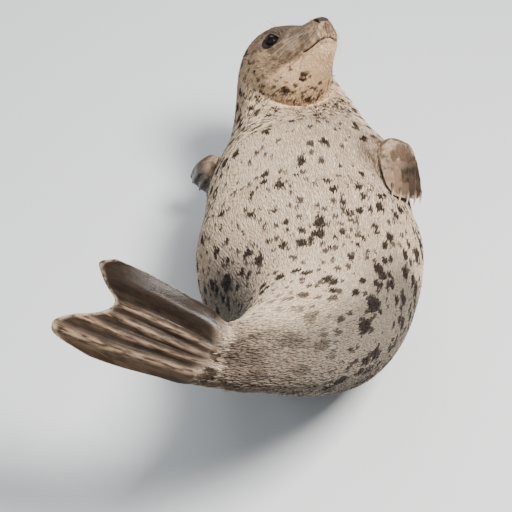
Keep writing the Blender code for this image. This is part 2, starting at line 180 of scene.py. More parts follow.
def spine(shares, steps=400):
    """Ring centres and frames at these shares of the length."""
    shares = np.asarray(shares, float)
    keys = [row[0] for row in POSE]
    grid = np.linspace(0, 1, steps + 1)
    forward = hermite(keys, [row[1] for row in POSE], grid)
    forward /= np.linalg.norm(forward, axis=1)[:, None]
    along = np.zeros_like(forward)
    along[1:] = np.cumsum((forward[1:] + forward[:-1]) / 2, axis=0) * (-LENGTH / steps)
    at_belly = [np.interp(BELLY_AT, grid, along[:, k]) for k in range(3)]
    along += np.array(BELLY_CENTRE) - at_belly
    centre = np.stack([np.interp(shares, grid, along[:, k]) for k in range(3)], 1)
    f = hermite(keys, [row[1] for row in POSE], shares)
    b = hermite(keys, [row[2] for row in POSE], shares)
    return centre, np.array([frame_of(*pair) for pair in zip(f, b)])


def sections(shares):
    """Half width, belly side, back side, squareness, and the centre's drop and shift, at each share."""
    keys = []
    rows = []
    for back, wide, top, level, bottom, square, aside in FACE:
        keys.append(back / LENGTH)
        rows.append((wide, bottom - level, top + level, square, level, aside))
    for share, wide, belly, back, square, aside in GIRTH:
        keys.append(share)
        rows.append((wide, belly, back, square, 0.0, aside))
    return hermite(keys, rows, shares)


def head_place(point):
    """World position of a point given behind the nose tip, to the animal's left, above the nose."""
    nose = spine([0.0])[0][0]
    t, left, belly = frame_of(*HEAD)
    return nose - point[0] * t + point[1] * left - point[2] * belly


def relief(points, normals):
    """Points of the head moved out or in by the face's swellings and hollows."""
    nose = head_place((0, 0, 0))
    local = (points - nose) @ frame_of(*HEAD).T
    place = np.stack([-local[..., 0], np.abs(local[..., 1]), -local[..., 2]], -1)
    push = np.zeros(points.shape[:-1])
    for centre, reach, height in RELIEF:
        far = ((place - centre) / np.array(reach)) ** 2
        push += height * np.exp(-far.sum(-1))
    return points + normals * push[..., None]


def raw_rings(shares, around, grow):
    """Rings of points square to the spine."""
    centre, frames = spine(shares)
    angle = turns(around, 0.5)
    c = np.cos(angle)
    s = np.sin(angle)
    out = np.zeros((len(shares), around, 3))
    for i, (wide, belly, back, square, level, aside) in enumerate(sections(shares)):
        x = np.sign(c) * np.abs(c) ** (2 / square) * (wide + grow)
        y = np.sign(s) * np.abs(s) ** (2 / square) * (np.where(s > 0, belly, back) + grow)
        mid = centre[i] + frames[i][2] * level + frames[i][1] * aside
        out[i] = mid + x[:, None] * frames[i][1] + y[:, None] * frames[i][2]
    return out


def outwards(points):
    """Normals of a grid of rings."""
    along = np.gradient(points, axis=0)
    across = np.roll(points, -1, axis=1) - np.roll(points, 1, axis=1)
    normal = np.cross(along, across)
    normal /= np.maximum(np.linalg.norm(normal, axis=2), 1e-12)[..., None]
    outward = points - points.mean(axis=1, keepdims=True)
    return normal * np.sign((normal * outward).sum(-1).mean())


def fill_throat(grid, points):
    """The hollow under the bent neck, filled towards a straight line on the belly side."""
    first, last, fill = THROAT
    inside = np.where((grid > first) & (grid < last))[0]
    a = inside[0] - 1
    b = inside[-1] + 1
    t = ((grid[inside] - grid[a]) / (grid[b] - grid[a]))[:, None, None]
    turn = turns(points.shape[1], 0.5)
    share = fill * np.sqrt(np.clip(np.sin(turn), 0, 1))[None, :, None]
    points[inside] += share * (points[a] * (1 - t) + points[b] * t - points[inside])
    return points


def rings(shares, around=AROUND, grow=0.0):
    """Rings of points round the body, eased where the throat folds and flattened by the floor."""
    shares = np.asarray(shares, float)
    grid = np.linspace(0, END, RING_COUNT)
    points = fill_throat(grid, raw_rings(grid, around, grow))
    at, reach, strength = EASE
    ease = hump(grid - at, reach, 4)[1:-1, None, None] * strength
    for _ in range(EASE_STEPS):
        points[1:-1] += ease * ((points[2:] + points[:-2]) / 2 - points[1:-1])
    place = np.interp(shares, grid, np.arange(len(grid)))
    low = np.minimum(place.astype(int), len(grid) - 2)
    part = (place - low)[:, None, None]
    out = points[low] * (1 - part) + points[low + 1] * part
    normal = outwards(points)
    swell = np.zeros(out.shape[:2])
    for place in (FORE_LEFT, FORE_RIGHT):
        far = out - (fore_root(place)[0] + unit(place[3]) * SHOULDER[2])
        swell += SHOULDER[1] * np.exp(-(far**2).sum(-1) / SHOULDER[0] ** 2)
    out += normal[low] * swell[..., None]
    near_face = shares < FACE_END
    if near_face.any():
        out[near_face] = relief(out[near_face], normal[low][near_face])
    out[..., 2] = np.maximum(out[..., 2], -grow)
    return out


# ---- flippers -----------------------------------------------------------------------------
# distance from the root, half width
HIND_WIDTH = ((0.0, 0.026), (0.026, 0.040), (0.050, 0.053), (0.10, 0.061), (0.15, 0.067), (0.26, 0.070))
# place across (-1 the fifth digit, 1 the first), reach
HIND_REACH = (
    (-1.0, 0.196),
    (-0.90, 0.236),
    (-0.66, 0.259),
    (-0.36, 0.240),
    (-0.12, 0.206),
    (0.10, 0.191),
    (0.26, 0.192),
    (0.42, 0.208),
    (0.60, 0.221),
    (0.88, 0.228),
    (1.0, 0.212),
)
# place across of each digit, half width; then share of the reach, half thickness
HIND_DIGITS = ((-0.66, 0.20), (-0.32, 0.11), (-0.08, 0.11), (0.16, 0.12), (0.66, 0.30))
HIND_THICK = ((0.0, 0.021), (0.25, 0.0150), (0.55, 0.0100), (0.85, 0.0062), (1.0, 0.0010))
FORE_WIDTH = ((0.0, 0.014), (0.012, 0.029), (0.03, 0.039), (0.07, 0.046), (0.11, 0.045), (0.15, 0.041))
FORE_REACH = (
    (-1.0, 0.104),
    (-0.8, 0.122),
    (-0.4, 0.135),
    (0.0, 0.144),
    (0.4, 0.151),
    (0.8, 0.150),
    (1.0, 0.134),
)
FORE_DIGITS = ((-0.76, 0.17), (-0.38, 0.17), (0.0, 0.17), (0.38, 0.17), (0.76, 0.18))
FORE_THICK = ((0.0, 0.012), (0.10, 0.023), (0.3, 0.020), (0.6, 0.0145), (0.88, 0.0085), (1.0, 0.0012))


WEB_THIN = 0.72  # how much of the thickness the web lacks between the digits
WEB_FROM = (0.12, 0.35)  # share of the reach where the web starts to thin, and over which it does


def paddle(spec, across, along):
    """Points of a flipper on a grid, in its own frame: along, across and out. Top first, then sole."""
    width, reach, digits, thick, cup = spec
    p = np.asarray(across, float)[None, :]
    t = np.asarray(along, float)[:, None]
    go = hermite(*zip(*reach), p[0])[None, :] * t
    side = p * hermite(*zip(*width), go.ravel()).reshape(go.shape)
    web = np.zeros_like(p)
    for place, wide in digits:
        web = np.maximum(web, hump(p - place, wide))
    lobes = 1 - (1 - web) * WEB_THIN * np.clip((t - WEB_FROM[0]) / WEB_FROM[1], 0, 1)
    rim = np.clip(1 - np.abs(p) ** 3, 0, 1) ** 0.5
    half = hermite(*zip(*thick), t[:, 0])[:, None] * (0.10 + 0.90 * lobes * rim)
    half = np.maximum(half, RIM)
    bow = cup * (1 - p**2) * np.sin(np.clip(t, 0, 1) * math.pi)
    top = np.stack([go, side, bow + half], -1)
    sole = np.stack([go, side, bow - half], -1)
    return top, sole


# width, reach, digits, thickness, height of the bow across the flipper
HIND = (HIND_WIDTH, HIND_REACH, HIND_DIGITS, HIND_THICK, 0.003)
FORE = (FORE_WIDTH, FORE_REACH, FORE_DIGITS, FORE_THICK, 0.004)


def placed(points, root, axis, out):
    """Points given along, across and out, moved to the root. Across runs to the first digit."""
    a = unit(axis)
    n = np.asarray(out, float)
    n = unit(n - a * (n @ a))
    return np.asarray(root) + points @ np.array((a, np.cross(a, n), n))


HIND_AT = 0.930  # share of the length
HIND_SLIDE = -0.015  # from there along the flipper
HIND_APART = 0.0235  # half the way between the two roots
HIND_CLOSE = 0.060  # how much the two lean together
HIND_AXIS = (-0.90, 0.175, 0.360)
HIND_OUT = (0.10, -0.70, 0.69)
SHOULDER = (0.055, 0.012, 0.01)  # reach and height of each shoulder's swelling, place along the limb
# share of the length, turn from the left side towards the belly, depth, axis, outer side
FORE_LEFT = (0.360, 41.0, 1.13, (0.09, -0.96, 0.02), (0.60, -0.12, 0.79))
FORE_RIGHT = (0.262, 177.0, 1.05, (-0.20, 0.38, -0.90), (-0.34, -0.90, -0.20))


def hind_roots():
    """Root, axis and outer side of the left and the right hind flipper."""
    centre = spine([HIND_AT])[0][0]
    out = unit(HIND_OUT)
    found = []
    for side in (1, -1):
        root = centre + out * side * HIND_APART + unit(HIND_AXIS) * HIND_SLIDE
        axis = unit(np.array(HIND_AXIS) - out * side * HIND_CLOSE)
        found.append((root, axis, out * side))
    return found


def fore_root(place):
    """Root, axis and outer side of one fore flipper."""
    share, turn, depth, axis, out = place
    centre, frames = spine([share])
    wide, belly = sections([share])[0][:2]
    a = math.radians(turn)
    at = centre[0] + depth * (math.cos(a) * wide * frames[0][1] + math.sin(a) * belly * frames[0][2])
    return at, axis, out


# ---- tail -----------------------------------------------------------------------------------
# distance from the root, half width, half thickness
TAIL = (
    (0.0, 0.022, 0.013),
    (0.040, 0.021, 0.012),
    (0.080, 0.018, 0.0095),
    (0.110, 0.013, 0.007),
    (0.122, 0.006, 0.004),
)
TAIL_AT = 0.930  # share of the length
TAIL_BACK = 0.024  # from the spine towards the back
TAIL_SUNK = 0.012  # how far the root lies inside the body
TAIL_AXIS = (-0.92, -0.10, 0.30)
TAIL_POINTS = 40  # rings along the tail, and points round each

# ---- mesh helpers ---------------------------------------------------------------------------
TINY = 1e-9


def lengths(vectors):
    """Length of each vector, never nothing, with its last axis kept."""
    return np.maximum(np.linalg.norm(vectors, axis=-1), TINY)[..., None]


def sheet(*parts):
    """One grid of vectors from the grids, rows or numbers of its parts."""
    return np.stack(np.broadcast_arrays(*parts), -1)


def ring_quads(count, around):
    """Quads between rings that follow each other, each ring closed."""
    i, j = np.meshgrid(np.arange(count - 1), np.arange(around), indexing="ij")
    k = (j + 1) % around
    near = i * around
    far = near + around
    return np.stack([near + j, near + k, far + k, far + j], -1).reshape(-1, 4).tolist()


def closed_tube(grid):
    """Points and faces of rings joined end to end, both ends closed round their middles."""
    n, m = grid.shape[:2]
    points = np.concatenate([grid.reshape(-1, 3), [grid[0].mean(axis=0)], [grid[-1].mean(axis=0)]])
    faces = ring_quads(n, m)
    for j in range(m):
        k = (j + 1) % m
        faces.append([n * m, k, j])
        faces.append([n * m + 1, (n - 1) * m + j, (n - 1) * m + k])
    return points, faces


def shade_smooth(mesh):
    mesh.polygons.foreach_set("use_smooth", [True] * len(mesh.polygons))


def turn_outwards(mesh):
    work = bmesh.new()
    work.from_mesh(mesh)
    bmesh.ops.recalc_face_normals(work, faces=work.faces)
    if work.calc_volume(signed=True) < 0:
        bmesh.ops.reverse_faces(work, faces=work.faces)
    work.to_mesh(mesh)
    work.free()


def build_mesh(name, points, faces):
    """A smooth-shaded closed mesh whose faces point outwards."""
    mesh = bpy.data.meshes.new(name)
    mesh.from_pydata(np.asarray(points).tolist(), [], faces)
    mesh.update()
    turn_outwards(mesh)
    shade_smooth(mesh)
    return mesh


def add_object(name, data, material=None):
    obj = bpy.data.objects.new(name, data)
    bpy.context.scene.collection.objects.link(obj)
    if material is not None:
        data.materials.clear()
        data.materials.append(material)
    return obj


def vectors_from(source, field, count):
    flat = np.zeros(count * 3, np.float32)
    source.foreach_get(field, flat)
    return flat.reshape(-1, 3).astype(float)


def places_of(mesh):
    return vectors_from(mesh.vertices, "co", len(mesh.vertices))


def normals_of(mesh):
    return vectors_from(mesh.vertex_normals, "vector", len(mesh.vertices))


def put_places(mesh, points):
    mesh.vertices.foreach_set("co", np.asarray(points, np.float32).ravel())
    mesh.update()


def store(mesh, name, values):
    """Keeps one number or one vector for each point of the mesh."""
    values = np.asarray(values, np.float32)
    kind = "FLOAT" if values.ndim == 1 else "FLOAT_VECTOR"
    layer = mesh.attributes.get(name) or mesh.attributes.new(name, kind, "POINT")
    layer.data.foreach_set("value" if values.ndim == 1 else "vector", values.ravel())


def read(mesh, name):
    """The number kept for each point of the mesh."""
    flat = np.zeros(len(mesh.vertices), np.float32)
    mesh.attributes[name].data.foreach_get("value", flat)
    return flat.astype(float)


def read_vectors(mesh, name):
    return vectors_from(mesh.attributes[name].data, "vector", len(mesh.vertices))


def point_tree(points, chosen):
    """A search tree of the chosen points, which keep their own numbers."""
    tree = KDTree(len(chosen))
    for i in chosen:
        tree.insert(points[i], int(i))
    tree.balance()
    return tree


def ramp(x, low, high):
    """0 below low, 1 above high, smooth between."""
    t = np.clip((np.asarray(x, float) - low) / (high - low), 0, 1)
    return t * t * (3 - 2 * t)


def join_solids(first, others):
    """One mesh from overlapping closed solids."""
    obj = add_object("joined", first)
    helpers = []
    for number, mesh in enumerate(others):
        helper = add_object(f"helper_{number}", mesh)
        helpers.append(helper)
        modifier = obj.modifiers.new("join", "BOOLEAN")
        modifier.operation = "UNION"
        modifier.solver = "EXACT"
        modifier.object = helper
    graph = bpy.context.evaluated_depsgraph_get()
    joined = bpy.data.meshes.new_from_object(obj.evaluated_get(graph))
    for helper in [obj, *helpers]:
        bpy.data.objects.remove(helper, do_unlink=True)
    return joined


# ---- the skin: body, flippers and tail as one surface ----------------------------------------
BODY_AROUND = 200
# first and last share of the length of each stretch of rings, and how many it has
BODY_RINGS = ((0.0, 0.130, 112), (0.130, 0.270, 58), (0.270, END, 128))
NOSE_DOME = 0.0035  # how far the nose pad bulges past the first ring
NOSE_RINGS = 12
NOSE_CLOSED = 0.97  # how far the first of them closes the dome
COAT_DEPTH = (0.0022, 0.0010, 0.0006)  # trunk, face, flippers
STRAIGHT_FLIPPER = 0.6  # flippers lie this far from the body in the straightened seal
STRAIGHT_SOLE = 0.05  # and their soles this much further
STRAIGHT_STEP = 0.3  # and each this far from the one before
# pages of the unwrap: edge, then width and height, or steps from one to the next
PAGE_EDGE = 0.02
BODY_PAGE = (0.60, 0.96)
FLIPPER_PAGE = (0.66, 0.17, 0.49)  # left edge of the first, steps across and up to the next
FACE_PAGE = (0.035, 0.078, 0.44)  # half width of one face, step to the sole, height
TAIL_PAGE = (0.93, 0.5, 0.001, 0.008)  # left and lower edge, steps across and up to the next point
STRAIGHT_TAIL = (1.2, 0.12, 0.05, 0.001)  # start, length, distance from the body, step to the next point


def body_grid():
    """Rings round the body, the nose closed by a low dome, with each ring's share of the length."""
    stretches = [np.linspace(*stretch) for stretch in BODY_RINGS]
    shares = np.concatenate([stretches[0]] + [stretch[1:] for stretch in stretches[1:]])
    grid = rings(shares, BODY_AROUND)
    middle = grid[0].mean(axis=0)
    forward = unit(HEAD_FORWARD)
    caps = []
    for closed in np.linspace(NOSE_CLOSED, 0.0, NOSE_RINGS + 1)[:-1]:
        a = closed * math.pi / 2
        caps.append(middle + (grid[0] - middle) * math.cos(a) + forward * (NOSE_DOME * math.sin(a)))
    return np.concatenate([np.array(caps), grid]), np.concatenate([np.zeros(len(caps)), shares])


def lie_of(grid):
    """Which way the coat lies at each ring point: on along the rings."""
    along = np.gradient(grid, axis=0)
    return along / lengths(along)


def facts_of(grid, straight, lie, unwrap, paddle_place, limb):
    """Ring points, and for each its place in the straightened seal, the coat's lie, its place on the
    unwrap, its place on the flipper, and its limb: 0 none, 1 fore, 2 hind."""
    vectors = (straight, lie, unwrap, paddle_place)
    columns = [np.broadcast_to(part, grid.shape).reshape(-1, 3) for part in vectors]
    return grid.reshape(-1, 3), np.concatenate([*columns, np.full((len(columns[0]), 1), limb)], axis=1)


def body_part():
    """The body's mesh and the facts of its points."""
    grid, shares = body_grid()
    wide, belly, back = sections(shares)[:, :3].T
    around = turns(BODY_AROUND, 0.5)[None, :]
    girth = ((wide + (belly + back) / 2) / 2)[:, None]
    straight = sheet(girth * np.cos(around), shares[:, None] * LENGTH, girth * np.sin(around))
    wide, high = BODY_PAGE
    unwrap = sheet(PAGE_EDGE + wide * around / (2 * math.pi), PAGE_EDGE + high * shares[:, None] / END, 0.0)
    return build_mesh("body", *closed_tube(grid)), facts_of(grid, straight, lie_of(grid), unwrap, 0.0, 0.0)


FLIPPER_ACROSS = 49
FLIPPER_ALONG = 44
FORE_RELIEF = (0.0016, 0.0009)  # depth of the creases between the digits, height of the digits
HIND_RELIEF = (0.0042, 0.0016)
RELIEF_FROM = (0.10, 0.40)  # shares of the reach between which the digits start to show
RIPPLE = (0.0007, -0.62, 0.30)  # height of the web's ripples, their place across, reach
DIGIT_SWAY = (0.035, 5.0, 4.0)  # how far the digits sway, waves along, waves across
DIGIT_CREST = 0.42  # half width of a crest, as a share of its digit's
CREASE_WIDTH = 0.050
BIG_DIGIT = (0.6, 0.14)  # past this place across, the hind crease lies this far from the last digit


def digit_lines(spec, p, t):
    """Crest of the digits and the creases between them, at places across and along a flipper."""
    places = sorted(place for place, wide in spec[2])
    sway, waves_along, waves_across = DIGIT_SWAY
    bend = sway * np.sin(t * waves_along + p * waves_across)
    crease = np.zeros_like(p)
    for low, high in zip(places[:-1], places[1:]):
        middle = (low + high) / 2
        if spec is HIND and high >= BIG_DIGIT[0]:
            middle = low + BIG_DIGIT[1]
        crease = np.maximum(crease, hump(p - middle + bend, CREASE_WIDTH))
    ridge = np.zeros_like(p)
    for place, wide in spec[2]:
        ridge = np.maximum(ridge, hump(p - place + bend, wide * DIGIT_CREST))
    return ridge, crease


def flipper_detail(spec, across, along, top, sole):
    """Digit ridges, creases between the digits and a rippled web."""
    p, t = np.broadcast_arrays(across[None, :], along[:, None])
    ridge, crease = digit_lines(spec, p, t)
    height, at, reach = RIPPLE
    ripple = np.sin(p * 46 + 5 * np.sin(t * 9)) * hump(p - at, reach)
    deep, high = FORE_RELIEF if spec is FORE else HIND_RELIEF
    push = high * ridge - deep * crease * (1 - 0.8 * ramp(t, 0.75, 1.0)) + height * ripple
    room = np.maximum((top[..., 2] - sole[..., 2]) / 2 - RIM * 0.8, 0)
    push = np.maximum(ramp(t, *RELIEF_FROM) * push, -room * 0.85) * (1 - np.abs(p) ** 8)
    top[..., 2] += push
    sole[..., 2] -= push
    return top, sole


def flipper_grid(spec, root, axis, out, side):
    """Both faces of a flipper, with its places across and along, and the top in its own frame."""
    across = np.sin(np.linspace(-1, 1, FLIPPER_ACROSS) * math.pi / 2)
    along = np.linspace(0, 1, FLIPPER_ALONG) ** 0.92
    top, sole = flipper_detail(spec, across, along, *paddle(spec, across, along))
    top[..., 1] *= side
    sole[..., 1] *= side
    faces = [placed(part, root, axis, out) for part in (top, sole)]
    return np.concatenate([faces[0], faces[1][:, ::-1]], axis=1), across, along, top


def flipper_tube(ring):
    """Points and faces of a flipper closed between its two sides at both ends."""
    n, w = ring.shape[:2]
    faces = ring_quads(n, w)
    for i in (0, n - 1):
        for j in range(w // 2 - 1):
            faces.append([i * w + j, i * w + w - 1 - j, i * w + w - 2 - j, i * w + j + 1])
    return ring.reshape(-1, 3), faces


def flipper_part(number, spec, root, axis, out, side):
    """One flipper's mesh and the facts of its points. Each has its own page of the unwrap."""
    grid, across, along, top = flipper_grid(spec, root, axis, out, side)
    go, aside, up = np.moveaxis(np.concatenate([top, top[:, ::-1]], axis=1), -1, 0)
    both = np.concatenate([across, across[::-1]])[None, :]
    sole = np.repeat((0.0, 1.0), FLIPPER_ACROSS)[None, :]
    ahead = STRAIGHT_STEP + STRAIGHT_STEP * number
    straight = sheet(aside, ahead - go, up + STRAIGHT_FLIPPER + STRAIGHT_SOLE * sole)
    first, step_across, step_up = FLIPPER_PAGE
    half, to_sole, high = FACE_PAGE
    left = first + step_across * (number % 2)
    low = PAGE_EDGE + step_up * (number // 2)
    unwrap = sheet(left + half * (both + 1) + to_sole * sole, low + high * along[:, None], 0.0)
    on_flipper = sheet(go, both, along[:, None])
    limb = 1.0 if spec is FORE else 2.0
    mesh = build_mesh(f"flipper_{number}", *flipper_tube(grid))
    return mesh, facts_of(grid, straight, lie_of(grid), unwrap, on_flipper, limb)


def tail_part():
    """The tail's mesh and the facts of its points."""
    centre, frames = spine([TAIL_AT])
    axis = unit(TAIL_AXIS)
    wide = unit(np.cross(axis, HIND_OUT))
    thin = unit(np.cross(wide, axis))
    root = centre[0] - frames[0][2] * TAIL_BACK - axis * TAIL_SUNK
    along = np.linspace(0, TAIL[-1][0], TAIL_POINTS)
    half, thick = hermite(*zip(*[(row[0], row[1:]) for row in TAIL]), along).T[:, :, None, None]
    angle = turns(TAIL_POINTS)[None, :, None]
    grid = root + along[:, None, None] * axis + (np.cos(angle) * half * wide + np.sin(angle) * thick * thin)
    steps = np.arange(TAIL_POINTS)
    start, length, apart, step = STRAIGHT_TAIL
    straight = sheet(steps[None, :] * step, np.linspace(0, length, TAIL_POINTS)[:, None] + start, apart)
    left, low, across, up = TAIL_PAGE
    unwrap = sheet(left + across * steps[None, :], low + up * steps[:, None], 0.0)
    return build_mesh("tail", *closed_tube(grid)), facts_of(grid, straight, axis, unwrap, 0.0, 0.0)


def flippers():
    """Name, shape, claws, root, axis, outer side and hand (1 left, -1 right) of each flipper."""
    left, right = hind_roots()
    return (
        ("fore_flipper_left", FORE, FORE_CLAWS, *fore_root(FORE_LEFT), 1),
        ("fore_flipper_right", FORE, FORE_CLAWS, *fore_root(FORE_RIGHT), -1),
        ("hind_flipper_left", HIND, HIND_CLAWS, *left, 1),
        ("hind_flipper_right", HIND, HIND_CLAWS, *right, -1),
    )


def make_skin_mesh():
    """Body, flippers and tail joined, with the facts that the finishes read at each point."""
    parts = [body_part()]
    for number, (_, spec, _, *place) in enumerate(flippers()):
        parts.append(flipper_part(number, spec, *place))
    parts.append(tail_part())
    meshes = [mesh for mesh, _ in parts]
    joined = join_solids(meshes[0], meshes[1:])
    pass_on_facts(joined, [facts for _, facts in parts])
    return joined


SAME_PLACE = 0.08  # facts that differ by more belong to another part of the seal


def pass_on_facts(mesh, known):
    """Each point of the joined skin takes its facts from the nearest points it came from."""
    places = np.concatenate([points for points, _ in known])
    facts = np.concatenate([rows for _, rows in known])
    tree = point_tree(places, range(len(places)))
    points = places_of(mesh)
    found = np.zeros((len(points), facts.shape[1]))
    for i, point in enumerate(points):
        near = tree.find_n(point, 3)
        nearest = facts[near[0][1]][:9]
        weight = 0.0
        for _, j, far in near:
            if np.abs(facts[j][:9] - nearest).max() <= SAME_PLACE:
                w = 1.0 / (far + 1e-6)
                found[i] += w * facts[j]
                weight += w
        found[i] /= weight
    for column, name in enumerate(("straight", "lie", "unwrap", "paddle_place")):
        store(mesh, name, found[:, 3 * column : 3 * column + 3])
    store(mesh, "limb", found[:, 12])


# ---- the face ---------------------------------------------------------------------------------
# places on the face are given behind the nose tip, to the side and above the nose
EYE_GAZE = (0.53, 0.83, 0.15)  # forward, to the side, up
EYE_OPEN = 49.0  # degrees from the gaze to the lid's edge
EYE_DRAWN = (7.0, 2.0, 1.5)  # degrees more at the inner and the outer corner, and less above and below
LID_THICK = 0.0011
LID_LIP = 0.0005  # how much thicker the edge of the lid is
LID_RINGS = ((60.0, 0.0007), (72.0, 0.0005), (84.0, 0.0004))  # degrees from the gaze, depth
INNER_CORNER = (-1.0, 0.25, -0.18)  # from the eye towards it
SKIN_SUNK = 0.0022  # how far the skin behind the lids lies inside the eyeball
CORNER = (0.081, 0.041, 0.0245)  # the folded skin in front of the eye
# the last number of each ring is how dark its fold is painted: painted shade
CORNER_RINGS = ((0.0, 0.0013, 0.9), (0.0040, 0.0009, 0.8), (0.0078, 0.0010, 0.6))  # distance, width, ink
CORNER_DEPTH = 0.0010
MOUTH = (
    (0.003, 0.000, -0.033),
    (0.006, 0.010, -0.035),
    (0.012, 0.019, -0.037),
    (0.024, 0.027, -0.040),
    (0.037, 0.033, -0.040),
    (0.044, 0.035, -0.038),
)
PHILTRUM = ((-0.003, 0.000, -0.010), (0.001, 0.000, -0.022), (0.003, 0.000, -0.033))
NOSTRIL = ((0.000, 0.0105, -0.007), (0.002, 0.0125, -0.001), (0.006, 0.0135, 0.004), (0.012, 0.0120, 0.009))
EAR = ((0.134, 0.078, 0.016), (0.139, 0.080, 0.018))
# line, width, depth, painted shade
GROOVES = (
    (MOUTH, 0.0017, 0.0042, 1.0),
    (PHILTRUM, 0.0015, 0.0020, 0.35),
    (NOSTRIL, 0.0016, 0.0050, 1.0),
    (EAR, 0.0026, 0.0050, 0.8),
)
GROOVE_LIP = 0.0007  # height of the swelling along each side of a groove
# rows of whiskers: height above the nose, how many, first and last place behind it
WHISKER_ROWS = (
    (-0.009, 5, 0.011, 0.042),
    (-0.014, 7, 0.006, 0.048),
    (-0.019, 8, 0.004, 0.052),
    (-0.024, 8, 0.004, 0.053),
    (-0.029, 7, 0.006, 0.050),
)
FOLLICLE = (0.0015, 0.95, 0.0022, 0.0005)  # dot's radius and ink, swelling's reach and height
# fine folds of the face: from, to, width, depth
WRINKLES = (
    ((0.047, 0.036, -0.039), (0.074, 0.050, -0.047), 0.0016, 0.0018),
    ((0.050, 0.038, -0.032), (0.082, 0.058, -0.039), 0.0015, 0.0017),
    ((0.054, 0.040, -0.026), (0.088, 0.062, -0.031), 0.0015, 0.0015),
    ((0.058, 0.042, -0.019), (0.093, 0.065, -0.023), 0.0015, 0.0014),
    ((0.060, 0.044, -0.012), (0.096, 0.067, -0.014), 0.0014, 0.0012),
    ((0.066, 0.048, -0.004), (0.100, 0.069, -0.006), 0.0014, 0.0011),
    ((0.047, 0.036, -0.044), (0.062, 0.044, -0.060), 0.0015, 0.0016),
    ((0.078, 0.048, 0.034), (0.102, 0.052, 0.044), 0.0018, 0.0010),
)
# how dark the fine folds are painted: painted shade
WRINKLE_SHADE = 0.42
# passes that split the skin finer: distance from a groove, degrees from the lids' edge
FINER = ((0.0052, 9.0), (0.0024, 4.5))
FINER_EYE = (0.004, 0.024)  # least and greatest distance from the eye's middle where the lids are split
FINER_CORNER = 0.0105
FINER_FOLLICLE = 0.0032
PAD_REAR = 0.09  # the whiskers' roots lie ahead of this
SWAY_OF_FOLDS = 0.006  # how far the folds under the throat wander
FOLDS_REACH = 58  # degrees from the middle of the belly where they fade out


def head_local(points):
    """Behind the nose tip, to the animal's left, above the nose."""
    nose = head_place((0, 0, 0))
    local = (points - nose) @ frame_of(*HEAD).T
    return np.stack([-local[..., 0], local[..., 1], -local[..., 2]], -1)


def mirrored(local):
    return np.stack([local[:, 0], np.abs(local[:, 1]), local[:, 2]], -1)


def from_line(points, line):
    """Distance of each point from a polyline."""
    best = np.full(len(points), 9.0)
    for a, b in zip(line[:-1], line[1:]):
        a = np.array(a)
        b = np.array(b)
        t = np.clip((points - a) @ (b - a) / ((b - a) @ (b - a)), 0, 1)
        best = np.minimum(best, np.linalg.norm(points - a - t[:, None] * (b - a), axis=1))
    return best


def dots_away(points, dots):
    """Distance of each point from the nearest of some dots."""
    return np.min([np.linalg.norm(points - dot, axis=1) for dot in dots], axis=0)


def on_skin(side, line, keep, steps=9):
    """The line drawn finer and laid on the skin, which stays on the middle line where the line does."""
    tree = point_tree(side, keep)
    laid = []
    for a, b in zip(line[:-1], line[1:]):
        shares = np.linspace(0, 1, steps)
        if b is not line[-1]:
            shares = shares[:-1]
        for t in shares:
            aim = np.array(a) * (1 - t) + np.array(b) * t
            spot = np.mean([np.array(found[0]) for found in tree.find_n(aim, 4)], axis=0)
            laid.append(spot * (1, aim[1] > 0.001, 1))
    laid = np.array(laid)
    for _ in range(2):
        laid[1:-1] = (laid[:-2] + 2 * laid[1:-1] + laid[2:]) / 4
    return laid


def pad_place(row, share):
    """Place at a share of the way back along one row of whiskers."""
    above, _, first, last = row
    back = first + (last - first) * share**1.35
    return back, 0.014 + 0.027 * share**0.75, above + 0.36 * (back - first)


def follicle_rows(side, keep):
    """Rows of the points where the whiskers grow, laid on the skin."""
    lines = []
    for row in WHISKER_ROWS:
        places = [pad_place(row, share) for share in np.linspace(0, 1, row[1])]
        lines.append(on_skin(side, places, keep, 2))
    return lines


def eye_gaze():
    """The gaze, given behind, to the side and above."""
    ahead, aside, up = EYE_GAZE
    return unit((-ahead, aside, up))


def lid_edge(flat):
    """Degrees from the gaze where the lids end: round, drawn out a little at the corners."""
    gaze = eye_gaze()
    corner = np.array(INNER_CORNER)
    corner = unit(corner - gaze * (corner @ gaze))
    inner, outer, less = EYE_DRAWN
    to_nose = flat @ corner
    high = flat @ unit(np.cross(gaze, corner))
    drawn = inner * np.clip(to_nose, 0, 1) ** 12
    return EYE_OPEN + drawn + outer * np.clip(-to_nose, 0, 1) ** 8 - less * high**2


def round_the_eye(local):
    """For the eye on each point's own side: degrees from the gaze, distance from the eye's middle,
    direction square to the gaze, and degrees from the gaze where the lids end in that direction."""
    gaze = eye_gaze()
    away = mirrored(local) - np.array(EYE_PLACE)
    far = np.linalg.norm(away, axis=1)
    turn = np.degrees(np.arccos(np.clip(away @ gaze / np.maximum(far, TINY), -1, 1)))
    flat = away - gaze * (away @ gaze)[:, None]
    flat /= lengths(flat)
    return turn, far, flat, lid_edge(flat)


def refine(mesh, chosen):
    """Splits the edges whose ends are both chosen."""
    work = bmesh.new()
    work.from_mesh(mesh)
    work.verts.ensure_lookup_table()
    edges = [e for e in work.edges if chosen[e.verts[0].index] and chosen[e.verts[1].index]]
    bmesh.ops.subdivide_edges(work, edges=edges, cuts=1, use_grid_fill=True)
    work.to_mesh(mesh)
    work.free()


def refine_face(mesh, grooves, corner):
    """Finer skin at the lids and grooves; at the eye's corner in the first pass, and at the whiskers'
    roots in the second."""
    for second, (reach, lid) in enumerate(FINER):
        local = head_local(places_of(mesh))
        turn, far, _, edge = round_the_eye(local)
        side = mirrored(local)
        near = (np.abs(turn - edge) < lid) & (far < FINER_EYE[1]) & (far > FINER_EYE[0])
        for line, _, _, _ in grooves:
            near |= from_line(side, line) < reach
        if second:
            for line in follicle_rows(side, np.where(side[:, 0] < PAD_REAR)[0]):
                near |= dots_away(side, line) < FINER_FOLLICLE
        else:
            near |= dots_away(side, corner) < FINER_CORNER
        refine(mesh, near)


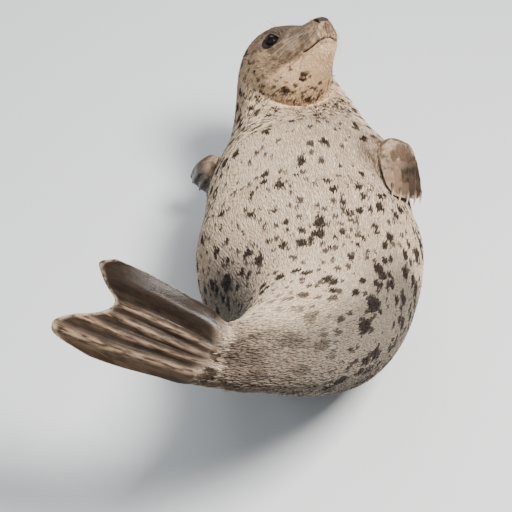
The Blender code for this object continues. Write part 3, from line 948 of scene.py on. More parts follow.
def shape_face(mesh):
    """Lids, mouth, nose, ear openings and fine folds, with painted shade that darkens the grooves and folds,
    and dark dots at the whiskers' roots.
    """
    side = mirrored(head_local(places_of(mesh)))
    keep = np.where((read_vectors(mesh, "straight")[:, 1] < 0.24) & (read(mesh, "limb") < 0.5))[0]
    grooves = [(on_skin(side, line, keep), *sizes) for line, *sizes in GROOVES]
    folds = [(on_skin(side, (start, end), keep), *sizes) for start, end, *sizes in WRINKLES]
    corner = on_skin(side, (CORNER, MOUTH[-1]), keep)[:1]
    refine_face(mesh, grooves, corner)
    points = places_of(mesh)
    local = head_local(points)
    side = mirrored(local)
    turn, eye_far, _, edge = round_the_eye(local)
    push = np.zeros(len(points))
    painted_shade_and_dots = np.zeros(len(points))
    # grooves and folds are darkened with painted shade; the whiskers' roots get dark dots of their own colour
    for line, width, depth, dark in grooves:
        far = from_line(side, line)
        painted_shade_and_dots = np.maximum(painted_shade_and_dots, dark * hump(far, width * 0.85, 4))
        push -= depth * hump(far, width)
        push += GROOVE_LIP * hump(far - width * 2.2, width * 1.3)
    corner_far = dots_away(side, corner)
    for ring, wide, dark in CORNER_RINGS:
        fold = hump(corner_far - ring, wide) * (turn - edge > 6)
        painted_shade_and_dots = np.maximum(painted_shade_and_dots, dark * fold)
        push -= CORNER_DEPTH * fold
    for line, width, depth in folds:
        fold = hump(from_line(side, line), width)
        painted_shade_and_dots = np.maximum(painted_shade_and_dots, WRINKLE_SHADE * fold)
        push -= depth * fold
    radius, dark, reach, height = FOLLICLE
    for line in follicle_rows(side, keep):
        far = dots_away(side, line)
        painted_shade_and_dots = np.maximum(painted_shade_and_dots, dark * hump(far, radius, 4))
        push += height * hump(far, reach)
    for ring, depth in LID_RINGS:
        push -= depth * hump(turn - ring, 4.0) * (eye_far < 0.035)
    store(mesh, "seam", painted_shade_and_dots)
    store(mesh, "mouth_far", from_line(side, grooves[0][0]))
    put_places(mesh, seat_lids(points + normals_of(mesh) * push[:, None]))


def seat_lids(points):
    """Lids drawn over the eyeball, and the skin behind it sunk out of sight."""
    local = head_local(points)
    turn, far, flat, edge = round_the_eye(local)
    near = (far < 0.030) & (turn < 88) & (local[:, 0] > 0.05)
    step = turn - edge
    squeeze = np.where(np.abs(step) < 5, np.sign(step) * 5 * (np.abs(step) / 5) ** 1.6, step)
    wanted = np.radians(edge + squeeze)[:, None]
    heading = eye_gaze() * np.cos(wanted) + flat * np.sin(wanted)
    lid = EYE_RADIUS + LID_THICK + LID_LIP * hump(step, 5)
    sunk = EYE_RADIUS - SKIN_SUNK
    free = ramp(step, 20, 40)
    outer = np.where(far > lid, far, lid * (1 - free) + far * free)
    radius = np.where(squeeze >= 0, outer, sunk + (lid - sunk) * ramp(squeeze, -2.2, 0.0))
    radius = np.where(squeeze < -6, np.minimum(far, sunk), radius)
    fresh = np.array(EYE_PLACE) + heading * radius[:, None]
    fresh[:, 1] *= np.sign(local[:, 1])
    moved = np.where(near[:, None], fresh, local)
    back = np.stack([-moved[:, 0], moved[:, 1], -moved[:, 2]], -1)
    return head_place((0, 0, 0)) + back @ frame_of(*HEAD)


# share of the length, width and depth of the folds under the throat
THROAT_FOLDS = (
    (0.158, 0.0040, 0.0040),
    (0.172, 0.0036, 0.0034),
    (0.187, 0.0040, 0.0030),
    (0.205, 0.0046, 0.0024),
    (0.224, 0.0050, 0.0022),
    (0.244, 0.0050, 0.0018),
)


def shape_folds(mesh):
    """Wandering folds under the throat."""
    straight = read_vectors(mesh, "straight")
    turn = np.degrees(np.arctan2(straight[:, 2], straight[:, 0]))
    push = np.zeros(len(straight))
    for number, (share, width, depth) in enumerate(THROAT_FOLDS):
        at = share * LENGTH + SWAY_OF_FOLDS * np.sin(np.radians(turn * 2 + 50 * number))
        push -= depth * hump(turn - 90, FOLDS_REACH, 4) * hump(straight[:, 1] - at, width)
    push *= read(mesh, "limb") < 0.5
    put_places(mesh, places_of(mesh) + normals_of(mesh) * push[:, None])


def smooth_joins(mesh, rounds=14):
    """Softens the crease where the flippers leave the body."""
    points = places_of(mesh)
    limb = read(mesh, "limb")
    count = len(points)
    ends = np.zeros(len(mesh.edges) * 2, np.int64)
    mesh.edges.foreach_get("vertices", ends)
    one, other = ends.reshape(-1, 2).T
    degree = np.bincount(ends, minlength=count).astype(float)

    def neighbours(values):
        return np.bincount(one, values[other], count) + np.bincount(other, values[one], count)

    differ = np.abs(limb[one] - limb[other]) > 0.4
    spread = np.zeros(count)
    spread[one[differ]] = 1.0
    spread[other[differ]] = 1.0
    for _ in range(5):
        spread = np.maximum(spread, 0.9 * neighbours(spread) / degree * 1.6).clip(0, 1)
    for _ in range(rounds):
        total = np.stack([neighbours(column) for column in points.T], 1)
        points += (spread * 0.5)[:, None] * (total / degree[:, None] - points)
    put_places(mesh, points)


# where the coat gives way to bare skin on the flippers, as shares of the reach, and to the face's short
# hair, in metres along the straightened seal; degrees past the lid's edge where its dark rim ends
FORE_BARE = (0.22, 0.62)
HIND_BARE = (0.04, 0.25)
SHORT_HAIR = (0.06, 0.20)
LID_RIM = (2, 6.5)
ARM = (0.045, 0.050, 0.100)  # middle of the dark arm along its flipper, all dark within, fades out at


def nose_share(side, straight):
    """Where the bare skin of the nose is."""
    nose = hump(side[:, 0], 0.011) * hump(side[:, 1], 0.0132, 4) * hump(side[:, 2] - 0.002, 0.0078, 4)
    return np.where(straight[:, 1] < 0.05, ramp(nose, 0.12, 0.60), 0)


def arm_share(points):
    """Where the coat darkens over the root of each fore flipper."""
    arm = np.zeros(len(points))
    for place in (FORE_LEFT, FORE_RIGHT):
        middle = fore_root(place)[0] + unit(place[3]) * ARM[0]
        arm = np.maximum(arm, 1 - ramp(np.linalg.norm(points - middle, axis=1), *ARM[1:]))
    return arm


def digit_shares(limb, flat):
    """Where the digits' crests get painted highlights and the creases between them painted shade, faint on
    the fore flippers.
    """
    crest_highlight = np.zeros(len(limb))
    crease_shade = np.zeros(len(limb))
    for spec, kind, strength in ((FORE, 1, 0.22), (HIND, 2, 1.0)):
        ridge, crease = digit_lines(spec, flat[:, 1], flat[:, 2])
        own = np.abs(limb - kind) < 0.5
        crest_highlight = np.where(own, ridge * strength, crest_highlight)
        crease_shade = np.where(own, crease * strength, crease_shade)
    return crest_highlight, crease_shade


def coat_facts(mesh):
    """Stores where each finish lies, and gives the depth of the coat at each point."""
    points = places_of(mesh)
    straight = read_vectors(mesh, "straight")
    limb = read(mesh, "limb")
    flat = read_vectors(mesh, "paddle_place")
    local = head_local(points)
    fore = ramp(flat[:, 2] - 0.22 * flat[:, 1], *FORE_BARE) * np.clip(limb, 0, 1)
    hind = ramp(flat[:, 2], *HIND_BARE) * np.clip(limb, 0, 1)
    bare = np.where(limb > 1.5, hind, fore)
    face = (1 - ramp(straight[:, 1], *SHORT_HAIR)) * (limb < 0.5)
    turn, far, _, edge = round_the_eye(local)
    crest_highlight, crease_shade = digit_shares(limb, flat)
    store(mesh, "bare", bare)
    store(mesh, "face", face)
    store(mesh, "nose", nose_share(mirrored(local), straight))
    at_eye = (far < 0.03) & (straight[:, 1] < 0.2)
    store(mesh, "lid", np.where(at_eye, 1 - ramp(turn - edge, *LID_RIM), 0))
    # painted highlight on the digits' crests and painted shade in the creases between them
    store(mesh, "crest_highlight", crest_highlight)
    store(mesh, "crease_shade", crease_shade)
    store(mesh, "arm", arm_share(points))
    # in the fore flippers' creases their own colour gives way to the painted crease shade
    store(mesh, "fore", np.where(np.abs(limb - 1) < 0.5, 1 - 0.5 * crease_shade, 0))
    store(mesh, "head_place", local)
    trunk_deep, face_deep, flipper_deep = COAT_DEPTH
    depth = trunk_deep * (1 - face) + face_deep * face
    return depth * (1 - bare) + flipper_deep * bare


# ---- shared shading groups --------------------------------------------------------------------
PAINT = {
    "sand": (0.50, 0.385, 0.275, 1),
    "cream": (0.67, 0.535, 0.395, 1),
    "dust": (0.42, 0.32, 0.23, 1),
    "mantle": (0.125, 0.105, 0.088, 1),
    "throat": (0.63, 0.425, 0.245, 1),
    "heel": (0.165, 0.120, 0.088, 1),
    "arm pale": (0.36, 0.255, 0.175, 1),
    "arm dark": (0.155, 0.100, 0.066, 1),
    "spot": (0.024, 0.016, 0.012, 1),
    "spot on the back": (0.016, 0.011, 0.009, 1),
    "muzzle": (0.125, 0.082, 0.052, 1),
    "crown": (0.105, 0.080, 0.060, 1),
    # painted shade in the face's grooves and folds, also the dark dots at the whiskers' roots
    "seam": (0.030, 0.020, 0.014, 1),
    "nose dark": (0.020, 0.015, 0.012, 1),
    "nose pale": (0.060, 0.044, 0.034, 1),
    "lid": (0.009, 0.006, 0.005, 1),
    "web dark": (0.022, 0.015, 0.010, 1),
    "web pale": (0.066, 0.043, 0.028, 1),
    # the first digit's dark skin, made darker still as painted shade
    "first digit dark with painted shade": (0.013, 0.009, 0.007, 1),
    # painted highlight along the digits' crests
    "digit": (0.340, 0.232, 0.155, 1),
    # painted shade in the creases between the digits
    "crease": (0.016, 0.012, 0.010, 1),
    "hand dark": (0.020, 0.013, 0.009, 1),
    "hand pale": (0.235, 0.152, 0.098, 1),
    "hand dapple": (0.060, 0.038, 0.025, 1),
    # pale rim of the flippers: a painted highlight
    "rim": (0.40, 0.31, 0.22, 1),
    "pupil": (0.0012, 0.0010, 0.0010, 1),
    "iris": (0.0045, 0.0028, 0.0020, 1),
    # darker edge of the eye: painted shade under the lids
    "iris rim": (0.0025, 0.0020, 0.0018, 1),
    "claw root": (0.060, 0.040, 0.026, 1),
    "horn dark": (0.24, 0.17, 0.105, 1),
    "horn pale": (0.38, 0.29, 0.19, 1),
    "whisker root": (0.24, 0.18, 0.13, 1),
    "whisker tip": (0.52, 0.46, 0.37, 1),
    "floor": (0.62, 0.64, 0.65, 1),
    "air": (0.90, 0.95, 1.0, 1),
}
# metres along the straightened seal between which each marking comes or goes
# over the hips and the rump the mantle comes down between these: partly the back's own colour, partly painted
# shade
MANTLE_AND_RUMP_SHADE_DOWN = (0.68, 0.94)
RUSTY_THROAT = (0.28, 0.08)
BROWN_HEEL = (1.12, 1.24)
NO_SPOTS_AHEAD = (0.050, 0.066)
FEW_SPOTS_AHEAD = (0.05, 0.075)
FEW_SPOTS_BEHIND = (1.00, 1.14)
LARGE_SPOTS = (0.16, 0.40)
MIDDLING_SPOTS = (0.14, 0.28)
SMALL_SPOTS = (0.34, 0.22)
CROWDED_THROAT = (0.40, 0.26)
# metres behind and above the nose between which the muzzle and the crown turn brown
MUZZLE_BEHIND = (0.160, 0.085)
MUZZLE_ABOVE = (-0.048, -0.034)
CROWN_ABOVE = (0.000, 0.044)
MARK_PLACES = {"Straight": "straight", "Head": "head_place", "Paddle": "paddle_place"}
MARK_SHARES = ("Bare", "Face", "Nose", "Lid", "Crest_highlight", "Crease_shade", "Arm", "Seam", "Fore")


def new_group(name, vectors, numbers, outs):
    """A shader group, with its input sockets by name and its output node."""
    group = bpy.data.node_groups.new(name, "ShaderNodeTree")
    for labels, kind in ((vectors, "NodeSocketVector"), (numbers, "NodeSocketFloat")):
        for label in labels:
            group.interface.new_socket(name=label, in_out="INPUT", socket_type=kind)
    for label, kind in outs:
        group.interface.new_socket(name=label, in_out="OUTPUT", socket_type=kind)
    return group, group.nodes.new("NodeGroupInput").outputs, group.nodes.new("NodeGroupOutput")


class Maker:
    """Short ways to add nodes to one tree."""

    def __init__(self, tree):
        self.tree = tree

    def node(self, kind, **settings):
        made = self.tree.nodes.new(kind)
        for key, value in settings.items():
            setattr(made, key, value)
        return made

    def link(self, source, target):
        self.tree.links.new(source, target)

    def put(self, value, socket):
        if isinstance(value, bpy.types.NodeSocket):
            self.link(value, socket)
        elif value is not None:
            socket.default_value = value

    def math(self, operation, a, b=None):
        made = self.node("ShaderNodeMath", operation=operation)
        self.put(a, made.inputs[0])
        self.put(b, made.inputs[1])
        return made.outputs[0]

    def times(self, a, b):
        return self.math("MULTIPLY", a, b)

    def plus(self, a, b):
        return self.math("ADD", a, b)

    def minus(self, a, b):
        return self.math("SUBTRACT", a, b)

    def most(self, a, b):
        return self.math("MAXIMUM", a, b)

    def mix(self, share, a, b):
        made = self.node("ShaderNodeMix", data_type="RGBA")
        self.put(share, made.inputs[0])
        self.put(a, made.inputs[6])
        self.put(b, made.inputs[7])
        return made.outputs[2]

    def between(self, value, low, high, start=0.0, end=1.0):
        """From start to end, smoothly, as the value goes from low to high."""
        made = self.node("ShaderNodeMapRange", interpolation_type="SMOOTHSTEP")
        for socket, put in zip(made.inputs, (value, low, high, start, end)):
            self.put(put, socket)
        return made.outputs[0]

    def noise(self, where, scale, detail=3.0, output="Fac"):
        made = self.node("ShaderNodeTexNoise")
        self.link(where, made.inputs["Vector"])
        made.inputs["Scale"].default_value = scale
        made.inputs["Detail"].default_value = detail
        made.inputs["Roughness"].default_value = 0.55
        return made.outputs[output]

    def waver(self, value, where, scale, amount):
        """The value, made to wander over the surface."""
        return self.plus(value, self.times(self.noise(where, scale), amount))

    def attribute(self, name, output="Fac"):
        made = self.node("ShaderNodeAttribute", attribute_type="GEOMETRY", attribute_name=name)
        return made.outputs[output]

    def named(self, name, kind="FLOAT"):
        """An attribute, in a tree that makes geometry."""
        made = self.node("GeometryNodeInputNamedAttribute", data_type=kind)
        made.inputs["Name"].default_value = name
        return made.outputs["Attribute"]

    def split(self, vector):
        made = self.node("ShaderNodeSeparateXYZ")
        self.link(vector, made.inputs[0])
        return made.outputs[:]

    def combine(self, *parts):
        made = self.node("ShaderNodeCombineXYZ")
        for socket, part in zip(made.inputs, parts):
            self.put(part, socket)
        return made.outputs[0]

    def vector(self, operation, a, b=None, scale=None):
        made = self.node("ShaderNodeVectorMath", operation=operation)
        self.put(a, made.inputs[0])
        self.put(b, made.inputs[1])
        self.put(scale, made.inputs[3])
        return made.outputs["Value" if operation == "LENGTH" else "Vector"]


def spot_layer_group():
    """One layer of irregular spots: dark blotches with ragged edges, some with a pale middle."""
    numbers = ("Scale", "Reach", "Share", "Ragged", "Rings")
    group, given, out = new_group("spot_layer", ("Place",), numbers, [("Spots", "NodeSocketFloat")])
    m = Maker(group)
    bend = m.vector("SUBTRACT", m.noise(given["Place"], 42.0, output="Color"), (0.5, 0.5, 0.5))
    place = m.vector("ADD", given["Place"], m.vector("SCALE", bend, None, given["Ragged"]))
    cells = m.node("ShaderNodeTexVoronoi", feature="F1", distance="EUCLIDEAN")
    m.link(m.vector("MULTIPLY", place, (1.0, 0.72, 1.0)), cells.inputs["Vector"])
    m.link(given["Scale"], cells.inputs["Scale"])
    cells.inputs["Randomness"].default_value = 0.95
    random = m.node("ShaderNodeSeparateColor")
    m.link(cells.outputs["Color"], random.inputs[0])
    shown = m.math("LESS_THAN", random.outputs[0], given["Share"])
    size = m.times(given["Reach"], m.between(random.outputs[1], 0.0, 1.0, 0.45, 1.1))
    spot = m.between(m.minus(size, cells.outputs["Distance"]), -0.035, 0.045)
    ring = m.math("LESS_THAN", random.outputs[2], given["Rings"])
    middle = m.between(m.minus(cells.outputs["Distance"], m.times(size, 0.42)), -0.06, 0.03, 1.0, 0.0)
    hollow = m.minus(1.0, m.times(m.times(ring, middle), 0.8))
    m.link(m.times(m.times(spot, shown), hollow), out.inputs["Spots"])
    return group


def turn_to_belly_with_rump_shade(m, place, y, z):
    """-1 along the back, 1 along the belly; over the hips and the rump it counts as the back, so the dark
    mantle there is partly the back's own colour and partly painted shade on the rump's lower side.
    """
    round_body = m.vector("LENGTH", m.vector("MULTIPLY", place, (1, 0, 1)))
    turn = m.math("DIVIDE", z, m.plus(round_body, 0.0001))
    return m.minus(turn, m.between(m.waver(y, place, 11.0, 0.12), *MANTLE_AND_RUMP_SHADE_DOWN))


def ground_colour(m, given, y, back, dapple):
    """The coat between the spots: pale, with a dark mantle that reaches over the hips and the rump partly as
    painted shade, a rusty throat and brown heels and arms.
    """
    place = given["Straight"]
    ground = m.mix(m.noise(place, 5.0, 2.0), PAINT["sand"], PAINT["cream"])
    ground = m.mix(m.times(m.noise(place, 60.0), 0.35), ground, PAINT["dust"])
    # the dark mantle along the back; over the hips and the rump it is partly painted shade
    ground = m.mix(m.times(back, 0.82), ground, PAINT["mantle"])
    ground = m.mix(m.times(m.between(y, *RUSTY_THROAT), 0.85), ground, PAINT["throat"])
    heel = m.between(m.waver(y, place, 14.0, 0.06), *BROWN_HEEL)
    ground = m.mix(m.times(heel, 0.75), ground, PAINT["heel"])
    arm = m.times(given["Arm"], m.between(dapple, 0.0, 1.0, 0.45, 1.0))
    return m.mix(arm, ground, m.mix(dapple, PAINT["arm pale"], PAINT["arm dark"]))


# scale, reach, raggedness, share of rings, shift of the pattern: large spots, middling, small
SPOT_LAYERS = (
    (25.0, 0.35, 0.022, 0.14, (0.0, 0.0, 0.0)),
    (43.0, 0.42, 0.015, 0.10, (3.1, 1.7, 0.4)),
    (80.0, 0.42, 0.009, 0.0, (7.3, 5.1, 2.2)),
)


def spot_share(m, given, spots, turn, back, muzzle):
    """Spots: many and large on the flanks, back and left, small under the throat, few on the face."""
    place = given["Straight"]
    x, y, z = m.split(place)
    flank = m.minus(1.0, m.between(turn, 0.35, 0.98))
    left = m.between(x, -0.05, 0.12)
    many = m.plus(0.52, m.times(m.most(flank, left), 0.36))
    many = m.plus(many, m.between(y, *CROWDED_THROAT, 0.0, 0.40))
    many = m.times(many, m.between(y, *FEW_SPOTS_AHEAD, 0.4, 1.0))
    spread = m.combine(x, m.plus(m.times(y, 0.9), m.times(m.math("MINIMUM", y, 0.36), 0.7)), z)
    back_or_left = m.most(back, m.times(left, 0.55))
    gains = (
        m.times(m.between(back_or_left, 0.1, 1.0, 0.22, 0.85), m.between(y, *LARGE_SPOTS)),
        m.between(y, *MIDDLING_SPOTS, 0.30, 1.0),
        m.between(y, *SMALL_SPOTS, 0.70, 1.15),
    )
    layers = []
    for (scale, reach, ragged, ring_share, shift), gain in zip(SPOT_LAYERS, gains):
        made = m.node("ShaderNodeGroup", node_tree=spots)
        m.link(m.vector("ADD", spread, shift), made.inputs["Place"])
        m.link(m.times(many, gain), made.inputs["Share"])
        for label, value in (("Scale", scale), ("Reach", reach), ("Ragged", ragged), ("Rings", ring_share)):
            made.inputs[label].default_value = value
        layers.append(made.outputs[0])
    large, middling, small = layers
    dark = m.most(m.most(large, middling), m.times(small, 0.88))
    for gain in (
        m.between(m.noise(place, 90.0, 4.0), 0.25, 0.45, 0.75, 1.0),
        m.between(given["Arm"], 0.55, 1.0, 1.0, 0.2),
        m.between(y, *NO_SPOTS_AHEAD),
        m.between(m.times(muzzle, given["Face"]), 0.1, 0.9, 1.0, 0.15),
        m.between(y, *FEW_SPOTS_BEHIND, 1.0, 0.45),
    ):
        dark = m.times(dark, gain)
    return dark


def face_colour(m, given, coat, muzzle, above):
    """Brown over the muzzle and the crown, then the painted shade of the grooves and folds with the whiskers'
    dark dots, the nose and the lids.
    """
    place = given["Straight"]
    brown = m.times(given["Face"], m.times(muzzle, 0.95))
    brown = m.times(brown, m.between(m.noise(place, 75.0, 4.0), 0.3, 0.65, 0.6, 1.2))
    coat = m.mix(brown, coat, PAINT["muzzle"])
    crown = m.between(m.waver(above, place, 40.0, 0.02), *CROWN_ABOVE)
    coat = m.mix(m.times(m.times(crown, given["Face"]), 0.9), coat, PAINT["crown"])
    # painted shade in the grooves and folds, and the whiskers' dark dots
    coat = m.mix(given["Seam"], coat, PAINT["seam"])
    coat = m.mix(given["Nose"], coat, m.mix(m.noise(place, 160.0), PAINT["nose dark"], PAINT["nose pale"]))
    return m.mix(given["Lid"], coat, PAINT["lid"])


def flipper_colour(m, given, dapple):
    """Dark webs, darkest by the first digit where it is partly painted shade, painted highlights along the
    digits' crests, painted shade in the creases, dappled fore flippers and pale rims painted as highlights.
    """
    paddle_place = given["Paddle"]
    _, across, along = m.split(paddle_place)
    streak = m.noise(m.vector("MULTIPLY", paddle_place, (14.0, 5.0, 0.0)), 3.0, 5.0)
    # painted wet highlights along the digits' crests
    painted_crest_highlight = m.times(given["Crest_highlight"], m.between(streak, 0.36, 0.62))
    painted_crest_highlight = m.times(painted_crest_highlight, m.between(across, 0.48, 0.30, 0.04, 1.0))
    web = m.mix(m.between(m.noise(paddle_place, 9.0), 0.3, 0.7), PAINT["web dark"], PAINT["web pale"])
    # darker by the first digit: its own dark skin deepened with painted shade
    web = m.mix(m.times(m.between(across, 0.36, 0.48), 0.85), web, PAINT["first digit dark with painted shade"])
    web = m.mix(m.times(painted_crest_highlight, 0.80), web, PAINT["digit"])
    # painted shade in the creases
    web = m.mix(m.times(given["Crease_shade"], 0.85), web, PAINT["crease"])
    outer = m.between(m.plus(across, m.times(dapple, 0.4)), 0.10, 0.95)
    hand = m.mix(outer, PAINT["hand dark"], PAINT["hand pale"])
    hand = m.mix(m.times(dapple, 0.55), hand, PAINT["hand dapple"])
    web = m.mix(given["Fore"], web, hand)
    # painted highlight along the flippers' edges
    rim = m.most(m.between(along, 0.955, 0.998), m.between(m.math("ABSOLUTE", across), 0.985, 0.999))
    rim = m.times(rim, m.between(along, 0.25, 0.6))
    rim = m.times(rim, m.between(m.noise(given["Straight"], 120.0), 0.35, 0.60, 0.1, 0.8))
    return m.mix(rim, web, PAINT["rim"])


def markings_group(spots):
    """Ground colour, spots, face and flipper colours shared by the skin and the coat."""
    outs = [("Color", "NodeSocketColor"), ("Roughness", "NodeSocketFloat")]
    group, given, out = new_group("seal_markings", MARK_PLACES, MARK_SHARES, outs)
    m = Maker(group)
    place = given["Straight"]
    _, y, z = m.split(place)
    behind, _, above = m.split(given["Head"])
    # the turn counts the hips and the rump as the back, so the mantle laid there is partly painted shade
    turn = turn_to_belly_with_rump_shade(m, place, y, z)
    back = m.between(turn, 0.05, -0.60)
    dapple = m.between(m.noise(place, 26.0, 4.0), 0.40, 0.60)
    muzzle = m.times(m.between(behind, *MUZZLE_BEHIND), m.between(above, *MUZZLE_ABOVE))
    dark = m.times(spot_share(m, given, spots, turn, back, muzzle), 0.97)
    spot = m.mix(back, PAINT["spot"], PAINT["spot on the back"])
    coat = m.mix(dark, ground_colour(m, given, y, back, dapple), spot)
    coat = face_colour(m, given, coat, muzzle, above)
    m.link(m.mix(given["Bare"], coat, flipper_colour(m, given, dapple)), out.inputs["Color"])
    rough = m.between(m.noise(place, 30.0), 0.3, 0.7, 0.52, 0.66)
    m.link(m.minus(rough, m.times(given["Bare"], 0.34)), out.inputs["Roughness"])
    return group


# ---- finishes ---------------------------------------------------------------------------------
def new_material(name, **settings):
    """A material, its Principled shader with these settings, and a maker for its nodes."""
    material = bpy.data.materials.new(name)
    material.use_nodes = True
    shader = material.node_tree.nodes["Principled BSDF"]
    for label, value in settings.items():
        shader.inputs[label.replace("_", " ")].default_value = value
    return material, shader, Maker(material.node_tree)


def marked_material(name, markings, sheen):
    """The shared markings under a thin wet sheen."""
    material, shader, m = new_material(name, Specular_IOR_Level=0.09, Coat_Weight=sheen, Coat_Roughness=0.14)
    marks = m.node("ShaderNodeGroup", node_tree=markings)
    for label, source in MARK_PLACES.items():
        m.link(m.attribute(source, "Vector"), marks.inputs[label])
    for label in MARK_SHARES:
        m.link(m.attribute(label.lower()), marks.inputs[label])
    m.link(marks.outputs["Color"], shader.inputs["Base Color"])
    m.link(marks.outputs["Roughness"], shader.inputs["Roughness"])
    return material, shader, m


def skin_material(markings):
    """The skin below the tufts, with the grain of short hairs."""
    material, shader, m = marked_material("spotted_skin", markings, 0.03)
    strands = m.noise(m.vector("MULTIPLY", m.attribute("straight", "Vector"), (1.0, 0.12, 1.0)), 900.0, 4.0)
    bump = m.node("ShaderNodeBump")
    bump.inputs["Strength"].default_value = 0.5
    bump.inputs["Distance"].default_value = 0.0006
    m.link(strands, bump.inputs["Height"])
    m.link(bump.outputs[0], shader.inputs["Normal"])
    return material


def coat_material(markings):
    return marked_material("spotted_coat", markings, 0.05)[0]


def eye_material():
    """A nearly black eye, wet in the middle, dull where the lids shade it and painted darker there as shade.
    """
    material, shader, m = new_material(
        "wet_dark_eye", Coat_Roughness=0.03, Coat_IOR=1.22, Roughness=0.5, Specular_IOR_Level=0.05
    )
    turn = m.attribute("from_gaze")
    iris = m.mix(m.between(turn, 18.0, 26.0), PAINT["pupil"], PAINT["iris"])
    # darker towards the rim: painted shade under the lids
    m.link(m.mix(m.between(turn, 40.0, 50.0), iris, PAINT["iris rim"]), shader.inputs["Base Color"])
    m.link(m.between(turn, 30.0, 46.0, 1.0, 0.0), shader.inputs["Coat Weight"])
    return material


def claw_material():
    """Brown horn, streaked along the claw and paler towards its tip."""
    material, shader, m = new_material("horn_claw", Roughness=0.32)
    grain = m.noise(m.vector("MULTIPLY", m.attribute("claw_place", "Vector"), (1.0, 9.0, 9.0)), 120.0)
    horn = m.mix(grain, PAINT["horn dark"], PAINT["horn pale"])
    tip = m.between(m.attribute("claw_along"), 0.25, 0.8)
    m.link(m.mix(tip, PAINT["claw root"], horn), shader.inputs["Base Color"])
    return material


def whisker_material():
    material, shader, m = new_material("pale_whisker", Roughness=0.35)
    colour = m.mix(m.attribute("hair_along"), PAINT["whisker root"], PAINT["whisker tip"])
    m.link(colour, shader.inputs["Base Color"])
    return material


# ---- the coat ---------------------------------------------------------------------------------
TUFT_LENGTH = 0.0125
TUFT_WIDTH = 0.0019
TUFT_THICK = 0.0008
TUFT_RISE = 5.5  # degrees off the skin
TUFTS_PER_M2 = 79000
TUFT_PATCH = 0.003
TUFT_WANDER = 0.14  # how far a tuft strays from the coat's lie
TUFT_VARIES = (0.6, 1.4)  # shortest and longest, as shares of the length
COAT_SEED = 11
KEPT_BY_TUFTS = (*MARK_PLACES.values(), *[label.lower() for label in MARK_SHARES], "OFBake")
KEPT_BY_MESH = ("sharp_face", "material_index")
COAT_PIECES = (
    "coat_head",
    "coat_neck",
    "coat_chest",
    "coat_belly",
    "coat_mid",
    "coat_hips",
    "coat_rump",
    "coat_rear",
    "coat_flippers",
)
COAT_CUTS = (0.17, 0.31, 0.43, 0.54, 0.66, 0.79, 0.95)  # metres along the straightened seal
FLOOR_REACH = (-0.003, 0.002)  # tufts below the second height are pressed, and flat from the first down
FLOOR_GAP = 0.0003
FLOOR_PRESS = 0.34  # how thick they stay
FACE_TUFT = 0.62  # how much smaller the tufts of the face are
FLIPPER_TUFT = (0.40, 0.12)  # size on the flippers, and how much less where they are bare
MUZZLE_THIN = 0.88  # how many fewer tufts the muzzle has


def tuft_mesh():
    """A thin closed lock, root at the origin, lying along +X and bowed over towards its tip."""
    rows = ((0.0, 0.55, 0.0), (0.30, 1.0, 0.55), (0.68, 0.72, 0.60))
    points = []
    for along, wide, high in rows:
        for across, up in ((-0.5, 0.0), (0.5, 0.0), (0.0, 1.0)):
            points.append((along, across * wide, high + up * wide))
    points.append((1.0, 0.0, 0.15))
    faces = [(0, 2, 1)]
    for a in (0, 3):
        for j in range(3):
            k = (j + 1) % 3
            faces.append((a + j, a + k, a + 3 + k, a + 3 + j))
    for j in range(3):
        faces.append((6 + j, 6 + (j + 1) % 3, 9))
    mesh = build_mesh("tuft", points, faces)
    uv = mesh.attributes.new("tuft_uv", "FLOAT2", "CORNER")
    for corner in mesh.loops:
        place = mesh.vertices[corner.vertex_index].co
        uv.data[corner.index].vector = (place.x, 0.5 + place.y)
    return mesh


def tuft_roots(m, given):
    """Points over one region of the skin, as many as each place asks for."""
    scatter = m.node("GeometryNodeDistributePointsOnFaces", distribute_method="RANDOM")
    here = m.node("FunctionNodeCompare", data_type="INT", operation="EQUAL")
    m.link(m.named("region", "INT"), here.inputs[2])
    m.link(given["Region"], here.inputs[3])
    m.link(given["Skin"], scatter.inputs["Mesh"])
    m.link(here.outputs[0], scatter.inputs["Selection"])
    m.link(m.times(given["Tufts per square metre"], m.named("tuft_many")), scatter.inputs["Density"])
    m.link(given["Seed"], scatter.inputs["Seed"])
    return scatter


def tuft_turn(m, given, normal, vary):
    """Each tuft follows the coat's lie, wanders a little from it and rises off the skin."""
    wander = m.node("FunctionNodeRandomValue", data_type="FLOAT_VECTOR")
    wander.inputs[0].default_value = (-TUFT_WANDER,) * 3
    wander.inputs[1].default_value = (TUFT_WANDER,) * 3
    m.link(given["Seed"], wander.inputs["Seed"])
    turned = m.node("FunctionNodeAxesToRotation", primary_axis="Z", secondary_axis="X")
    m.link(normal, turned.inputs["Primary Axis"])
    heading = m.vector("ADD", m.named("lie", "FLOAT_VECTOR"), wander.outputs[0])
    m.link(heading, turned.inputs["Secondary Axis"])
    tilt = m.node("FunctionNodeAxisAngleToRotation")
    tilt.inputs[0].default_value = (0.0, 1.0, 0.0)
    m.link(m.times(m.times(given["Rise"], vary), -1.0), tilt.inputs[1])
    lift = m.node("FunctionNodeRotateRotation", rotation_space="LOCAL")
    m.link(turned.outputs[0], lift.inputs[0])
    m.link(tilt.outputs[0], lift.inputs[1])
    return lift.outputs[0]


def tuft_size(m, given, vary):
    """Larger tufts are longer, and a little wider and thicker."""
    size = m.named("tuft_size")
    wider = m.math("POWER", size, 0.75)
    length = m.times(given["Length"], m.times(size, vary))
    return m.combine(length, m.times(given["Width"], wider), m.times(given["Thickness"], wider))


